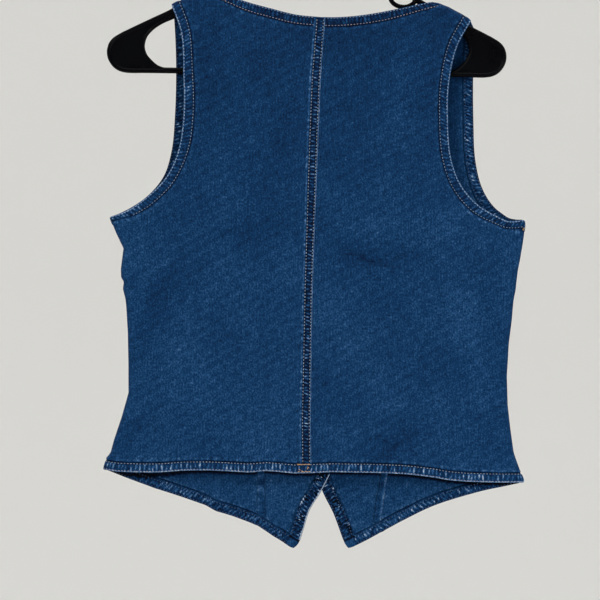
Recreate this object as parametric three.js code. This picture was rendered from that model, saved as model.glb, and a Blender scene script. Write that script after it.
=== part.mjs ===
// A denim waistcoat hung on a plain plastic tube hanger.
// Millimetres. +Z is up, the back of the waistcoat faces -Y and its fronts face +Y.
// +X is the wearer's right. The origin is the inside top of the hanger's hook.
import * as THREE from "three";

// Cloth and seams
const CLOTH = 1.5;
const SEAM_GAP = 0.3;
const HEM_WIDTH = 10.5;
const HEM_THICK = 1.0;
const HEM_INSET = 0.6;
const HEM_GAP = 0.45;
const SEAM_STRIP = { left: 6.2, right: 5.4, thick: 0.9 };
const SIDE_FOLD = 5.5;
const TOP_FOLD = 7.5;

// Fronts and closure
const FRONT_CENTRE = 31.8;
const LAP = 12;
const LAP_DEPTH = 3.8;
const CUTAWAY_TOP = 432;
const VEE_BOTTOM = 150;
const BUTTON = { count: 5, first: 172, pitch: 64, radius: 8.5, rise: 3.4 };
const DART = { top: 262, out: 70, wideAtHem: 9, wideAtTop: 2.5, lean: 5 };

// Hanger
const TIP_LEVEL = -180;
const BAR_RADIUS = 3.75;
const BAR_SLOPE = 0.5;
const PLATE_BEVEL = 2;
const LOWER_BAR = { radius: 3, down: 22, reach: 157 };
const HOOK = { radius: 3.25, bend: 20, start: -70, end: 205, turns: 10 };
const HUB = { joint: 12.5, neck: 5, top: -65, belly: -78 };
const END_JOINT = 160;
const END_PLATE = { reach: 210, crest: 184, crestUp: 21.5, noseUp: 9, tipUp: -3, toeUp: -20, heel: 188 };
const END_NOTCH = { reach: 171, up: 13, down: -15 };
const STRAP_HOOK = { x: 90, radius: 1.8, deep: 11, foot: 12 };

// Side outlines: x of each side edge at a depth below the hanger's tips.
const SIDES = [
  { down: 181, left: -200.5, right: 233 },
  { down: 197, left: -193, right: 231 },
  { down: 215, left: -186, right: 229 },
  { down: 235, left: -187.5, right: 226.8 },
  { down: 252, left: -184, right: 224.6 },
  { down: 275, left: -181, right: 223.3 },
  { down: 300, left: -178.5, right: 221.5 },
  { down: 335, left: -176.3, right: 220.3 },
  { down: 365, left: -176.3, right: 222.2 },
  { down: 390, left: -182, right: 225.5 },
  { down: 415, left: -189, right: 230.2 },
  { down: 430, left: -193.5, right: 235.5 },
  { down: 446, left: -199.3, right: 242 },
];

// The centre back seam wanders a little as the cloth hangs.
const CENTRE_BACK = [
  { down: -35, x: 13 },
  { down: 30, x: 10 },
  { down: 110, x: 9.3 },
  { down: 250, x: 9 },
  { down: 386, x: 10.8 },
  { down: 443, x: 13.2 },
];

// Armhole edges, from the underarm up to the shoulder.
const BACK_ARMHOLE = [
  { left: -200.5, leftDown: 181, right: 233, rightDown: 181 },
  { left: -182, leftDown: 172, right: 213, rightDown: 170.5 },
  { left: -160, leftDown: 155, right: 186, rightDown: 156.5 },
  { left: -143, leftDown: 135.5, right: 166, rightDown: 135 },
  { left: -131, leftDown: 108, right: 155, rightDown: 108 },
  { left: -126.5, leftDown: 72, right: 150.5, rightDown: 70 },
  { left: -127.5, leftDown: 30, right: 150.5, rightDown: 28 },
  { left: -133, leftDown: -15, right: 157.5, rightDown: -9 },
  { left: -144.5, leftDown: -45.5, right: 172, rightDown: -38.5 },
];
const FRONT_ARMHOLE = [
  { left: -200.5, leftDown: 181, right: 233, rightDown: 181 },
  { left: -179, leftDown: 168.5, right: 217, rightDown: 167.5 },
  { left: -160, leftDown: 153.5, right: 202, rightDown: 156 },
  { left: -146, leftDown: 134, right: 189, rightDown: 137 },
  { left: -139, leftDown: 108, right: 180, rightDown: 108 },
  { left: -135.7, leftDown: 70, right: 176.5, rightDown: 66 },
  { left: -136, leftDown: 20, right: 174.5, rightDown: 20 },
  { left: -139.5, leftDown: -25, right: 174, rightDown: -18 },
  { left: -144.5, leftDown: -45.5, right: 172, rightDown: -38.5 },
];

// Shoulder lines, from the neck out to the armhole.
const LEFT_SHOULDER = [
  { x: -144.5, down: -45.5 },
  { x: -136, down: -49.8 },
  { x: -120, down: -56.8 },
  { x: -103, down: -63.5 },
];
const RIGHT_SHOULDER = [
  { x: 129, down: -56 },
  { x: 136, down: -55 },
  { x: 147.6, down: -51.3 },
  { x: 158.3, down: -46 },
  { x: 172, down: -38.5 },
];

// Back neck edge, from the centre seam out to the shoulder.
const BACK_NECK = [
  { left: 13, leftDown: -35, right: 13, rightDown: -35 },
  { left: -13, leftDown: -36.6, right: 34, rightDown: -36 },
  { left: -39, leftDown: -41.8, right: 60, rightDown: -40 },
  { left: -67, leftDown: -49.7, right: 96, rightDown: -48.2 },
  { left: -103, leftDown: -63.5, right: 129, rightDown: -56 },
];

// Front neck edge, from the point of the vee up to the shoulder.
const FRONT_NECK = [
  { left: FRONT_CENTRE + LAP, leftDown: VEE_BOTTOM, right: FRONT_CENTRE - LAP, rightDown: VEE_BOTTOM },
  { left: 14, leftDown: 113, right: 50, rightDown: 112 },
  { left: -24, leftDown: 62, right: 84, rightDown: 58 },
  { left: -66, leftDown: 2, right: 112, rightDown: -2 },
  { left: -103, leftDown: -63.5, right: 129, rightDown: -56 },
];

// Hem edges, from the centre out to the side seam.
const BACK_HEM = [
  { left: 13.2, leftDown: 442.8, right: 13.2, rightDown: 442.8 },
  { left: -29, leftDown: 444.2, right: 67, rightDown: 441.2 },
  { left: -86, leftDown: 443.3, right: 118, rightDown: 441.6 },
  { left: -140, leftDown: 446, right: 162, rightDown: 445.6 },
  { left: -199.3, leftDown: 446, right: 242, rightDown: 446 },
];
const FRONT_HEM = [
  { left: 3.2, leftDown: 521.5, right: 60.4, rightDown: 521.5 },
  { left: -17, leftDown: 511, right: 80, rightDown: 511 },
  { left: -60, leftDown: 492, right: 119, rightDown: 490 },
  { left: -94, leftDown: 480, right: 150, rightDown: 474 },
  { left: -138, leftDown: 465, right: 196, rightDown: 458 },
  { left: -199.3, leftDown: 446, right: 242, rightDown: 446 },
];

// Slanted lower front edges, from the points up to the straight closing edge.
const CUTAWAY = [
  { left: 3.2, leftDown: 521.5, right: 60.4, rightDown: 521.5 },
  { left: 17.6, leftDown: 483.4, right: 46, rightDown: 488 },
  { left: 30, leftDown: 462.4, right: 31, rightDown: 463 },
  { left: 39.1, leftDown: 443.1, right: 24.5, rightDown: 443.1 },
  { left: FRONT_CENTRE + LAP, leftDown: CUTAWAY_TOP, right: FRONT_CENTRE - LAP, rightDown: CUTAWAY_TOP },
];

// How far the cloth stands off the middle plane: at the outer edges, and mid back and mid front.
const DEPTHS = [
  { down: -64, edge: 7.5, back: 8, front: 8 },
  { down: 0, edge: 7.8, back: 11, front: 12 },
  { down: 100, edge: 7, back: 14.5, front: 17 },
  { down: 181, edge: 5.5, back: 15, front: 19 },
  { down: 335, edge: 5.5, back: 11.5, front: 13.5 },
  { down: 446, edge: 5.5, back: 13, front: 15 },
  { down: 522, edge: 5.5, back: 13, front: 14.5 },
];

// The largest soft folds. A negative rise is a trough. A turn of 0 lies along X, 90 hangs straight.
const FOLDS = [
  { face: "back", x: 82, down: 214, long: 46, wide: 17, turn: -8, rise: -2.6 },
  { face: "back", x: 108, down: 405, long: 60, wide: 19, turn: 35, rise: -2.2 },
  { face: "back", x: -54, down: 196, long: 52, wide: 18, turn: 14, rise: -2.0 },
  { face: "back", x: -146, down: 268, long: 70, wide: 19, turn: 66, rise: -2.4 },
  { face: "back", x: -118, down: 356, long: 80, wide: 20, turn: 80, rise: 2.2 },
  { face: "back", x: 176, down: 300, long: 85, wide: 20, turn: 100, rise: 2.0 },
  { face: "back", x: 100, down: 60, long: 70, wide: 20, turn: 78, rise: 1.8 },
  { face: "back", x: -74, down: 40, long: 80, wide: 22, turn: 98, rise: 1.8 },
  { face: "front", x: -70, down: 190, long: 70, wide: 20, turn: 40, rise: 2.6 },
  { face: "front", x: 140, down: 196, long: 70, wide: 20, turn: 140, rise: 2.4 },
  { face: "front", x: -112, down: 330, long: 90, wide: 22, turn: 82, rise: -2.6 },
  { face: "front", x: 166, down: 340, long: 80, wide: 20, turn: 96, rise: -2.2 },
  { face: "front", x: 78, down: 470, long: 50, wide: 20, turn: 60, rise: 1.6 },
];

// Where the rows and columns of the cloth's sections lie, closer together at the folded edges.
const ACROSS = [0, 0.1, 0.21, 0.33, 0.45, 0.57, 0.69, 0.8, 0.89, 0.961, 0.974, 0.987, 1];
const UNDERARM = 0.48;
const BACK_NECK_START = 0.8;
const FRONT_CUTAWAY_END = 0.18;
const FRONT_VEE_START = 0.6;
const ARMHOLE_LOW = 0.55;
const TOP_START = 0.945;
const UP = [
  ...spread(0, UNDERARM, 9),
  ...[0.489, 0.5, 0.513, 0.53],
  ...spread(ARMHOLE_LOW, TOP_START, 8),
  ...[0.962, 0.975, 0.9835, 0.9895, 0.995, 0.9985, 1],
];

// Even steps from one value to another, both ends counted.
function spread(from, to, steps) {
  return Array.from({ length: steps + 1 }, (_, i) => from + ((to - from) * i) / steps);
}

const denim = new THREE.MeshStandardMaterial({ color: 0x24486f, roughness: 0.88, metalness: 0 });
const denimTurned = new THREE.MeshStandardMaterial({ color: 0x2c5078, roughness: 0.88, metalness: 0 });
const plastic = new THREE.MeshStandardMaterial({ color: 0x0c0c0e, roughness: 0.3, metalness: 0 });
const buttonMetal = new THREE.MeshStandardMaterial({ color: 0xa9a49a, roughness: 0.35, metalness: 0.9 });

const garment = new THREE.Group();

function addMesh(name, geometry, material) {
  const mesh = new THREE.Mesh(geometry, material);
  mesh.name = name;
  garment.add(mesh);
  return mesh;
}

// A value between the rows of a table, straight from row to row and level past its ends.
function between(table, key, column, value) {
  if (value <= table[0][key]) return table[0][column];
  for (let i = 1; i < table.length; i++) {
    const low = table[i - 1];
    const high = table[i];
    if (value <= high[key]) {
      const share = (value - low[key]) / (high[key] - low[key]);
      return THREE.MathUtils.lerp(low[column], high[column], share);
    }
  }
  return table[table.length - 1][column];
}

const sideX = (side, down) => between(SIDES, "down", side, down);

// A smooth edge through a table's points for one side.
function edgeCurve(table, side) {
  const points = table.map((row) => new THREE.Vector3(row[side], row[side + "Down"], 0));
  return new THREE.CatmullRomCurve3(points, false, "centripetal");
}

// Width taken up by the fold at a side seam: a flat x becomes a place on the unrolled cloth.
function unroll(side, x, down) {
  const way = side === "right" ? 1 : -1;
  const limit = sideX(side, down) - way * SIDE_FOLD;
  const past = (x - limit) * way;
  if (past <= 0) return x;
  return limit + way * SIDE_FOLD * Math.asin(Math.min(1, past / SIDE_FOLD));
}

function foldRise(face, x, down) {
  let rise = 0;
  for (const fold of FOLDS) {
    if (fold.face !== face) continue;
    const turn = THREE.MathUtils.degToRad(fold.turn);
    const dx = x - fold.x;
    const dz = fold.down - down;
    const along = (dx * Math.cos(turn) + dz * Math.sin(turn)) / fold.long;
    const over = (dz * Math.cos(turn) - dx * Math.sin(turn)) / fold.wide;
    rise += fold.rise * Math.exp(-along * along - over * over);
  }
  return rise;
}

// How far below the shoulder's top line a point lies.
function belowShoulder(x, down) {
  const table = x < FRONT_CENTRE ? LEFT_SHOULDER : RIGHT_SHOULDER;
  const first = table[0];
  const last = table[table.length - 1];
  const slope = (last.down - first.down) / (last.x - first.x);
  let top = between(table, "x", "down", x);
  if (x < first.x) top = first.down + (x - first.x) * slope;
  if (x > last.x) top = last.down + (x - last.x) * slope;
  return (down - top) / Math.hypot(1, slope);
}

// The outer face of a panel: a place on the unrolled cloth becomes a point in space.
function panelFace(face, side) {
  const away = face === "back" ? -1 : 1;
  return (flatX, down) => {
    let x = flatX;
    let roll = 1;
    for (const [edge, way] of [["left", -1], ["right", 1]]) {
      const limit = sideX(edge, down) - way * SIDE_FOLD;
      const past = (flatX - limit) * way;
      if (past > 0) {
        x = limit + way * SIDE_FOLD * Math.sin(past / SIDE_FOLD);
        roll = Math.cos(past / SIDE_FOLD);
      }
    }
    const left = sideX("left", down);
    const right = sideX("right", down);
    const across = (2 * x - left - right) / (right - left);
    const edgeDepth = between(DEPTHS, "down", "edge", down);
    const midDepth = between(DEPTHS, "down", face, down);
    let depth = edgeDepth + (midDepth - edgeDepth) * Math.max(0, 1 - across * across);
    const calm = THREE.MathUtils.smoothstep(1 - Math.abs(across), 0.03, 0.2);
    depth += foldRise(face, x, down) * calm * THREE.MathUtils.smoothstep(down, -20, 30);
    if (face === "front" && side === "left") {
      depth -= LAP_DEPTH * THREE.MathUtils.smoothstep(x, FRONT_CENTRE - 62, FRONT_CENTRE - LAP - 4);
    }
    const below = belowShoulder(x, down);
    const turned = Math.min(1, Math.abs(below) / TOP_FOLD);
    const arch = Math.sign(below) * Math.sqrt(1 - (1 - turned) ** 2);
    const y = away * (SEAM_GAP / 2 + depth * roll * arch);
    return new THREE.Vector3(x, y, TIP_LEVEL - down);
  };
}

// The outward normal of a face at a place on the unrolled cloth.
function faceNormal(face, place, outward) {
  const step = 0.02;
  const acrossStep = face(place.x + step, place.y).sub(face(place.x - step, place.y));
  const downStep = face(place.x, place.y + step).sub(face(place.x, place.y - step));
  const normal = acrossStep.cross(downStep).normalize();
  return normal.multiplyScalar(outward);
}

// A closed solid between two depths off a face, over a grid of places on the unrolled cloth.
function layer(face, outward, grid, high, low) {
  const rows = grid.length;
  const columns = grid[0].length;
  const positions = [];
  for (const depth of [high, low]) {
    for (const row of grid) {
      for (const place of row) {
        const normal = faceNormal(face, place, outward);
        const point = face(place.x, place.y).addScaledVector(normal, depth);
        positions.push(point.x, point.y, point.z);
      }
    }
  }
  const count = rows * columns;
  const at = (r, c, inner) => r * columns + c + (inner ? count : 0);
  const faces = [];
  const quad = (a, b, c, d) => faces.push(a, b, c, a, c, d);
  for (let r = 0; r < rows - 1; r++) {
    for (let c = 0; c < columns - 1; c++) {
      quad(at(r, c), at(r, c + 1), at(r + 1, c + 1), at(r + 1, c));
      quad(at(r, c, 1), at(r + 1, c, 1), at(r + 1, c + 1, 1), at(r, c + 1, 1));
    }
  }
  for (let c = 0; c < columns - 1; c++) {
    quad(at(0, c), at(0, c, 1), at(0, c + 1, 1), at(0, c + 1));
    quad(at(rows - 1, c), at(rows - 1, c + 1), at(rows - 1, c + 1, 1), at(rows - 1, c, 1));
  }
  for (let r = 0; r < rows - 1; r++) {
    quad(at(r, 0), at(r + 1, 0), at(r + 1, 0, 1), at(r, 0, 1));
    quad(at(r, columns - 1), at(r, columns - 1, 1), at(r + 1, columns - 1, 1), at(r + 1, columns - 1));
  }
  const geometry = new THREE.BufferGeometry();
  geometry.setAttribute("position", new THREE.Float32BufferAttribute(positions, 3));
  geometry.setIndex(faces);
  if (signedVolume(geometry) < 0) {
    for (let i = 0; i < faces.length; i += 3) {
      [faces[i + 1], faces[i + 2]] = [faces[i + 2], faces[i + 1]];
    }
    geometry.setIndex(faces);
  }
  geometry.computeVertexNormals();
  return geometry;
}

function signedVolume(geometry) {
  const position = geometry.getAttribute("position");
  const index = geometry.getIndex();
  const corner = (i) => new THREE.Vector3().fromBufferAttribute(position, index.getX(i));
  let volume = 0;
  for (let i = 0; i < index.count; i += 3) {
    volume += corner(i).dot(corner(i + 1).cross(corner(i + 2))) / 6;
  }
  return volume;
}

// The two long edges of a back panel, from the hem up to the shoulder.
function backEdges(side) {
  const way = side === "right" ? 1 : -1;
  const armhole = edgeCurve(BACK_ARMHOLE, side);
  const neck = edgeCurve(BACK_NECK, side);
  const hemDown = BACK_HEM[0].leftDown;
  const neckDown = BACK_NECK[0].leftDown;
  const sideHem = BACK_HEM[BACK_HEM.length - 1][side + "Down"];
  const underarm = BACK_ARMHOLE[0][side + "Down"];
  const inner = (v) => {
    if (v <= BACK_NECK_START) {
      const down = THREE.MathUtils.lerp(hemDown, neckDown, v / BACK_NECK_START);
      return [between(CENTRE_BACK, "down", "x", down) + (way * SEAM_GAP) / 2, down];
    }
    const point = neck.getPointAt((v - BACK_NECK_START) / (1 - BACK_NECK_START));
    const gap = ((way * SEAM_GAP) / 2) * (1 - v) / (1 - BACK_NECK_START);
    return [point.x + gap, point.y];
  };
  const outer = (v) => {
    if (v <= UNDERARM) {
      const down = THREE.MathUtils.lerp(sideHem, underarm, v / UNDERARM);
      return [sideX(side, down), down];
    }
    const point = armhole.getPointAt((v - UNDERARM) / (1 - UNDERARM));
    return [point.x, point.y];
  };
  return { inner, outer, hem: edgeCurve(BACK_HEM, side) };
}

// The two long edges of a front, from the hem up to the shoulder.
function frontEdges(side) {
  const armhole = edgeCurve(FRONT_ARMHOLE, side);
  const neck = edgeCurve(FRONT_NECK, side);
  const cutaway = edgeCurve(CUTAWAY, side);
  const closing = CUTAWAY[CUTAWAY.length - 1][side];
  const sideHem = FRONT_HEM[FRONT_HEM.length - 1][side + "Down"];
  const underarm = FRONT_ARMHOLE[0][side + "Down"];
  const inner = (v) => {
    if (v <= FRONT_CUTAWAY_END) {
      const point = cutaway.getPointAt(v / FRONT_CUTAWAY_END);
      return [point.x, point.y];
    }
    if (v <= FRONT_VEE_START) {
      const share = (v - FRONT_CUTAWAY_END) / (FRONT_VEE_START - FRONT_CUTAWAY_END);
      return [closing, THREE.MathUtils.lerp(CUTAWAY_TOP, VEE_BOTTOM, share)];
    }
    const point = neck.getPointAt((v - FRONT_VEE_START) / (1 - FRONT_VEE_START));
    return [point.x, point.y];
  };
  const outer = (v) => {
    if (v <= UNDERARM) {
      const down = THREE.MathUtils.lerp(sideHem, underarm, v / UNDERARM);
      return [sideX(side, down), down];
    }
    const point = armhole.getPointAt((v - UNDERARM) / (1 - UNDERARM));
    return [point.x, point.y];
  };
  return { inner, outer, hem: edgeCurve(FRONT_HEM, side) };
}

function shoulderPoint(side, share) {
  const table = side === "left" ? [...LEFT_SHOULDER].reverse() : RIGHT_SHOULDER;
  const x = THREE.MathUtils.lerp(table[0].x, table[table.length - 1].x, share);
  const ordered = side === "left" ? LEFT_SHOULDER : RIGHT_SHOULDER;
  return [x, between(ordered, "x", "down", x)];
}

// A place on a panel's unrolled cloth, blended from its four edges.
function panelPlace(edges, side) {
  const flat = ([x, down]) => new THREE.Vector2(unroll(side, x, down), down);
  const hemAt = (u) => edges.hem.getPointAt(u);
  return (u, v) => {
    const place = flat(edges.inner(v)).lerp(flat(edges.outer(v)), u);
    const hem = hemAt(u);
    const hemFlat = flat([hem.x, hem.y]);
    const hemStraight = flat(edges.inner(0)).lerp(flat(edges.outer(0)), u);
    const top = new THREE.Vector2(...shoulderPoint(side, u));
    const topStraight = flat(edges.inner(1)).lerp(flat(edges.outer(1)), u);
    place.addScaledVector(hemFlat.sub(hemStraight), (1 - v) ** 2);
    place.addScaledVector(top.sub(topStraight), v ** 4);
    return place;
  };
}

function makePanel(face, side) {
  const edges = face === "back" ? backEdges(side) : frontEdges(side);
  const place = panelPlace(edges, side);
  const surface = panelFace(face, side);
  const outward = face === "back" ? -1 : 1;
  const grid = UP.map((v) => ACROSS.map((u) => place(u, v)));
  addMesh(face + "_" + side, layer(surface, outward, grid, 0, -CLOTH), denim);
  return { face, side, place, surface, outward };
}

// A turned hem: a strip on the inside of a panel along one edge, from that edge's own points.
function turnedHem(name, panel, edgePlaces, inside) {
  const grid = edgePlaces.map((place, i) => {
    const before = edgePlaces[Math.max(0, i - 1)];
    const after = edgePlaces[Math.min(edgePlaces.length - 1, i + 1)];
    const run = after.clone().sub(before).normalize();
    const inward = new THREE.Vector2(-run.y, run.x);
    if (inward.dot(inside(i).clone().sub(place)) < 0) inward.negate();
    return [HEM_INSET, HEM_WIDTH / 2, HEM_WIDTH].map((far) => place.clone().addScaledVector(inward, far));
  });
  const high = -CLOTH - HEM_GAP;
  addMesh(name, layer(panel.surface, panel.outward, grid, high, high - HEM_THICK), denimTurned);
}

function hemAlongUp(name, panel, u, from, to) {
  const levels = UP.filter((v) => v > from && v < to);
  const rows = [from, ...levels, to];
  const step = u === 0 ? 0.06 : -0.06;
  turnedHem(name, panel, rows.map((v) => panel.place(u, v)), (i) => panel.place(u + step, rows[i]));
}

function hemAlongBottom(name, panel, from, to) {
  const columns = [from, ...ACROSS.filter((u) => u > from && u < to), to];
  turnedHem(name, panel, columns.map((u) => panel.place(u, 0)), (i) => panel.place(columns[i], 0.04));
}

// The felled centre back seam: a raised strip over the join of the two back panels.
function makeCentreSeam() {
  const surface = panelFace("back", "right");
  const hemDown = BACK_HEM[0].leftDown;
  const neckDown = BACK_NECK[0].leftDown;
  const levels = UP.filter((v) => v < BACK_NECK_START);
  const grid = [...levels, BACK_NECK_START].map((v) => {
    const down = THREE.MathUtils.lerp(hemDown - HEM_INSET, neckDown + HEM_INSET, v / BACK_NECK_START);
    const x = between(CENTRE_BACK, "down", "x", down);
    return [-SEAM_STRIP.left, 0, SEAM_STRIP.right].map((off) => new THREE.Vector2(x + off, down));
  });
  const high = SEAM_GAP + SEAM_STRIP.thick;
  addMesh("back_centre_seam", layer(surface, -1, grid, high, SEAM_GAP), denimTurned);
}

// A dart's spare cloth, pressed flat on the inside of a front and narrowing upwards.
function makeDart(panel) {
  const way = panel.side === "right" ? 1 : -1;
  const hemCurve = frontEdges(panel.side).hem;
  const points = hemCurve.getSpacedPoints(40);
  const wanted = FRONT_CENTRE + way * (DART.out - DART.lean);
  const nearest = points.reduce((a, b) => (Math.abs(b.x - wanted) < Math.abs(a.x - wanted) ? b : a));
  const bottom = nearest.y - HEM_WIDTH - 4;
  const rows = 9;
  const grid = Array.from({ length: rows }, (_, i) => {
    const share = i / (rows - 1);
    const down = THREE.MathUtils.lerp(bottom, DART.top, share);
    const x = FRONT_CENTRE + way * (DART.out - DART.lean * (1 - share));
    const wide = THREE.MathUtils.lerp(DART.wideAtHem, DART.wideAtTop, share);
    return [0, wide].map((off) => new THREE.Vector2(x - way * off, down));
  });
  const high = -CLOTH - HEM_GAP;
  const geometry = layer(panel.surface, panel.outward, grid, high, high - HEM_THICK);
  addMesh("dart_" + panel.side, geometry, denimTurned);
}

// Domed metal buttons down the closing edge, on the outer front.
function makeButtons(panel) {
  const profile = [
    [0, 0],
    [BUTTON.radius * 0.72, 0],
    [BUTTON.radius, BUTTON.rise * 0.35],
    [BUTTON.radius, BUTTON.rise * 0.62],
    [BUTTON.radius * 0.8, BUTTON.rise * 0.92],
    [0, BUTTON.rise],
  ].map(([r, h]) => new THREE.Vector2(r, h));
  for (let i = 0; i < BUTTON.count; i++) {
    const place = new THREE.Vector2(FRONT_CENTRE, BUTTON.first + i * BUTTON.pitch);
    const normal = faceNormal(panel.surface, place, panel.outward);
    const seat = panel.surface(place.x, place.y).addScaledVector(normal, 2 * SEAM_GAP);
    const button = addMesh("button_" + (i + 1), new THREE.LatheGeometry(profile, 14), buttonMetal);
    button.position.copy(seat);
    button.quaternion.setFromUnitVectors(new THREE.Vector3(0, 1, 0), normal);
  }
}

// Top line of the hanger's shoulders, from its middle out to its ends.
const BAR_TOP = [
  { x: 0, down: -112 },
  { x: 60, down: -83.5 },
  { x: 103, down: -61.6 },
  { x: 145, down: -40.6 },
  { x: 175, down: -25.4 },
];

function circle(radius, sides) {
  const shape = new THREE.Shape();
  for (let i = 0; i < sides; i++) {
    const angle = (2 * Math.PI * i) / sides;
    const x = radius * Math.cos(angle);
    const y = radius * Math.sin(angle);
    if (i === 0) shape.moveTo(x, y);
    else shape.lineTo(x, y);
  }
  shape.closePath();
  return shape;
}

function tube(points, radius, sides, steps) {
  const path = new THREE.CatmullRomCurve3(points, false, "centripetal");
  return new THREE.ExtrudeGeometry(circle(radius, sides), { steps, extrudePath: path });
}

function makeHanger() {
  const barCentre = (x) => {
    const down = between(BAR_TOP, "x", "down", x) + BAR_RADIUS * Math.hypot(1, BAR_SLOPE);
    return new THREE.Vector3(x, 0, TIP_LEVEL - down);
  };
  const mirror = (point, way) => new THREE.Vector3(point.x * way, point.y, point.z);
  for (const [side, way] of [["left", -1], ["right", 1]]) {
    const stops = [HUB.joint + SEAM_GAP, 60, 103, 130, END_JOINT - SEAM_GAP];
    const bar = tube(stops.map((x) => mirror(barCentre(x), way)), BAR_RADIUS, 12, 6);
    addMesh("hanger_bar_" + side, bar, plastic);
    makeHangerEnd(side, way, barCentre(END_JOINT));
    makeStrapHook(side, way, barCentre(STRAP_HOOK.x));
  }
  const ends = [-LOWER_BAR.reach, 0, LOWER_BAR.reach];
  const lowerPoints = ends.map((x) => new THREE.Vector3(x, 0, TIP_LEVEL - LOWER_BAR.down));
  addMesh("hanger_lower_bar", tube(lowerPoints, LOWER_BAR.radius, 12, 4), plastic);
  makeHub(barCentre(HUB.joint));
  makeHook();
}

// The upper and lower corners of a face square to a shoulder bar, across its full thickness.
function squareEnd(joint) {
  const lean = Math.atan(BAR_SLOPE);
  const half = new THREE.Vector2(Math.sin(lean), Math.cos(lean)).multiplyScalar(BAR_RADIUS);
  const middle = new THREE.Vector2(joint.x, joint.z);
  return [middle.clone().add(half), middle.clone().sub(half)];
}

// A flat plate with eased edges, as thick as the bars, from an outline in X and Z.
function plate(outline) {
  const geometry = new THREE.ExtrudeGeometry(outline, {
    depth: 2 * (BAR_RADIUS - PLATE_BEVEL),
    bevelThickness: PLATE_BEVEL,
    bevelSize: PLATE_BEVEL,
    bevelOffset: -PLATE_BEVEL,
    bevelSegments: 2,
    curveSegments: 6,
  });
  geometry.translate(0, 0, PLATE_BEVEL - BAR_RADIUS);
  geometry.rotateX(Math.PI / 2);
  return geometry;
}

// The broad flat end that joins a shoulder bar to the lower bar.
function makeHangerEnd(side, way, joint) {
  const [upper, under] = squareEnd(joint.clone().setZ(joint.z - TIP_LEVEL));
  const lowerTop = LOWER_BAR.down - LOWER_BAR.radius;
  const lowerBottom = LOWER_BAR.down + LOWER_BAR.radius;
  const joinX = LOWER_BAR.reach + SEAM_GAP;
  const shape = new THREE.Shape();
  shape.moveTo(upper.x, upper.y);
  shape.lineTo(END_PLATE.crest, END_PLATE.crestUp);
  shape.quadraticCurveTo(END_PLATE.reach, END_PLATE.noseUp, END_PLATE.reach, END_PLATE.tipUp);
  shape.quadraticCurveTo(END_PLATE.reach, END_PLATE.toeUp, END_PLATE.heel, -lowerBottom);
  shape.lineTo(joinX, -lowerBottom);
  shape.lineTo(joinX, -lowerTop);
  shape.quadraticCurveTo(END_NOTCH.reach, END_NOTCH.down, END_NOTCH.reach, 0);
  shape.quadraticCurveTo(END_NOTCH.reach, END_NOTCH.up, under.x, under.y);
  shape.closePath();
  const geometry = plate(shape);
  if (way < 0) geometry.rotateZ(Math.PI);
  geometry.translate(0, 0, TIP_LEVEL);
  addMesh("hanger_end_" + side, geometry, plastic);
}

// A small hook under the shoulder bar that keeps a narrow strap from sliding.
function makeStrapHook(side, way, above) {
  const top = above.z - BAR_RADIUS * Math.hypot(1, BAR_SLOPE) - STRAP_HOOK.radius * BAR_SLOPE - SEAM_GAP;
  const points = [
    [STRAP_HOOK.x, top],
    [STRAP_HOOK.x, top - STRAP_HOOK.deep * 0.5],
    [STRAP_HOOK.x + STRAP_HOOK.foot * 0.35, top - STRAP_HOOK.deep],
    [STRAP_HOOK.x + STRAP_HOOK.foot, top - STRAP_HOOK.deep * 0.95],
  ].map(([x, z]) => new THREE.Vector3(x * way, 0, z));
  addMesh("hanger_strap_hook_" + side, tube(points, STRAP_HOOK.radius, 8, 8), plastic);
}

// The hub plate where the two shoulder bars meet, with its side faces square to them.
function makeHub(joint) {
  const [upper, under] = squareEnd(joint);
  const shape = new THREE.Shape();
  shape.moveTo(-upper.x, upper.y);
  shape.lineTo(-HUB.neck, HUB.top);
  shape.lineTo(HUB.neck, HUB.top);
  shape.lineTo(upper.x, upper.y);
  shape.lineTo(under.x, under.y);
  shape.quadraticCurveTo(0, HUB.belly, -under.x, under.y);
  shape.closePath();
  addMesh("hanger_hub", plate(shape), plastic);
}

// The stem and the hook, bent from one rod.
function makeHook() {
  const points = [HUB.top + SEAM_GAP, HUB.top + 6].map((z) => new THREE.Vector3(0, 0, z));
  const loop = HOOK.bend + HOOK.radius;
  for (let i = 0; i <= HOOK.turns; i++) {
    const angle = THREE.MathUtils.degToRad(HOOK.start + ((HOOK.end - HOOK.start) * i) / HOOK.turns);
    points.push(new THREE.Vector3(loop * Math.cos(angle), 0, -HOOK.bend + loop * Math.sin(angle)));
  }
  addMesh("hanger_hook", tube(points, HOOK.radius, 10, 26), plastic);
}

const backRight = makePanel("back", "right");
const backLeft = makePanel("back", "left");
const frontRight = makePanel("front", "right");
const frontLeft = makePanel("front", "left");
makeCentreSeam();

const hemStart = 0.004;
const hemSideEnd = 0.955;
const armholeHemStart = UNDERARM + 0.02;
const cornerShare = 0.075;
for (const panel of [backRight, backLeft]) {
  hemAlongBottom("back_hem_" + panel.side, panel, hemStart, hemSideEnd);
  hemAlongUp("back_neck_hem_" + panel.side, panel, 0, BACK_NECK_START + hemStart, 0.985);
  hemAlongUp("back_armhole_hem_" + panel.side, panel, 1, armholeHemStart, 0.972);
}
for (const panel of [frontRight, frontLeft]) {
  hemAlongBottom("front_hem_" + panel.side, panel, cornerShare, hemSideEnd);
  hemAlongUp("front_edge_hem_" + panel.side, panel, 0, hemStart, FRONT_VEE_START - 0.02);
  hemAlongUp("front_neck_hem_" + panel.side, panel, 0, FRONT_VEE_START + 0.02, 0.985);
  hemAlongUp("front_armhole_hem_" + panel.side, panel, 1, armholeHemStart, 0.972);
  makeDart(panel);
}
makeButtons(frontRight);
makeHanger();

export default garment;
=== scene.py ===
import math

import bmesh
import bpy
import numpy as np
from mathutils import Matrix, Vector


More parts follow.
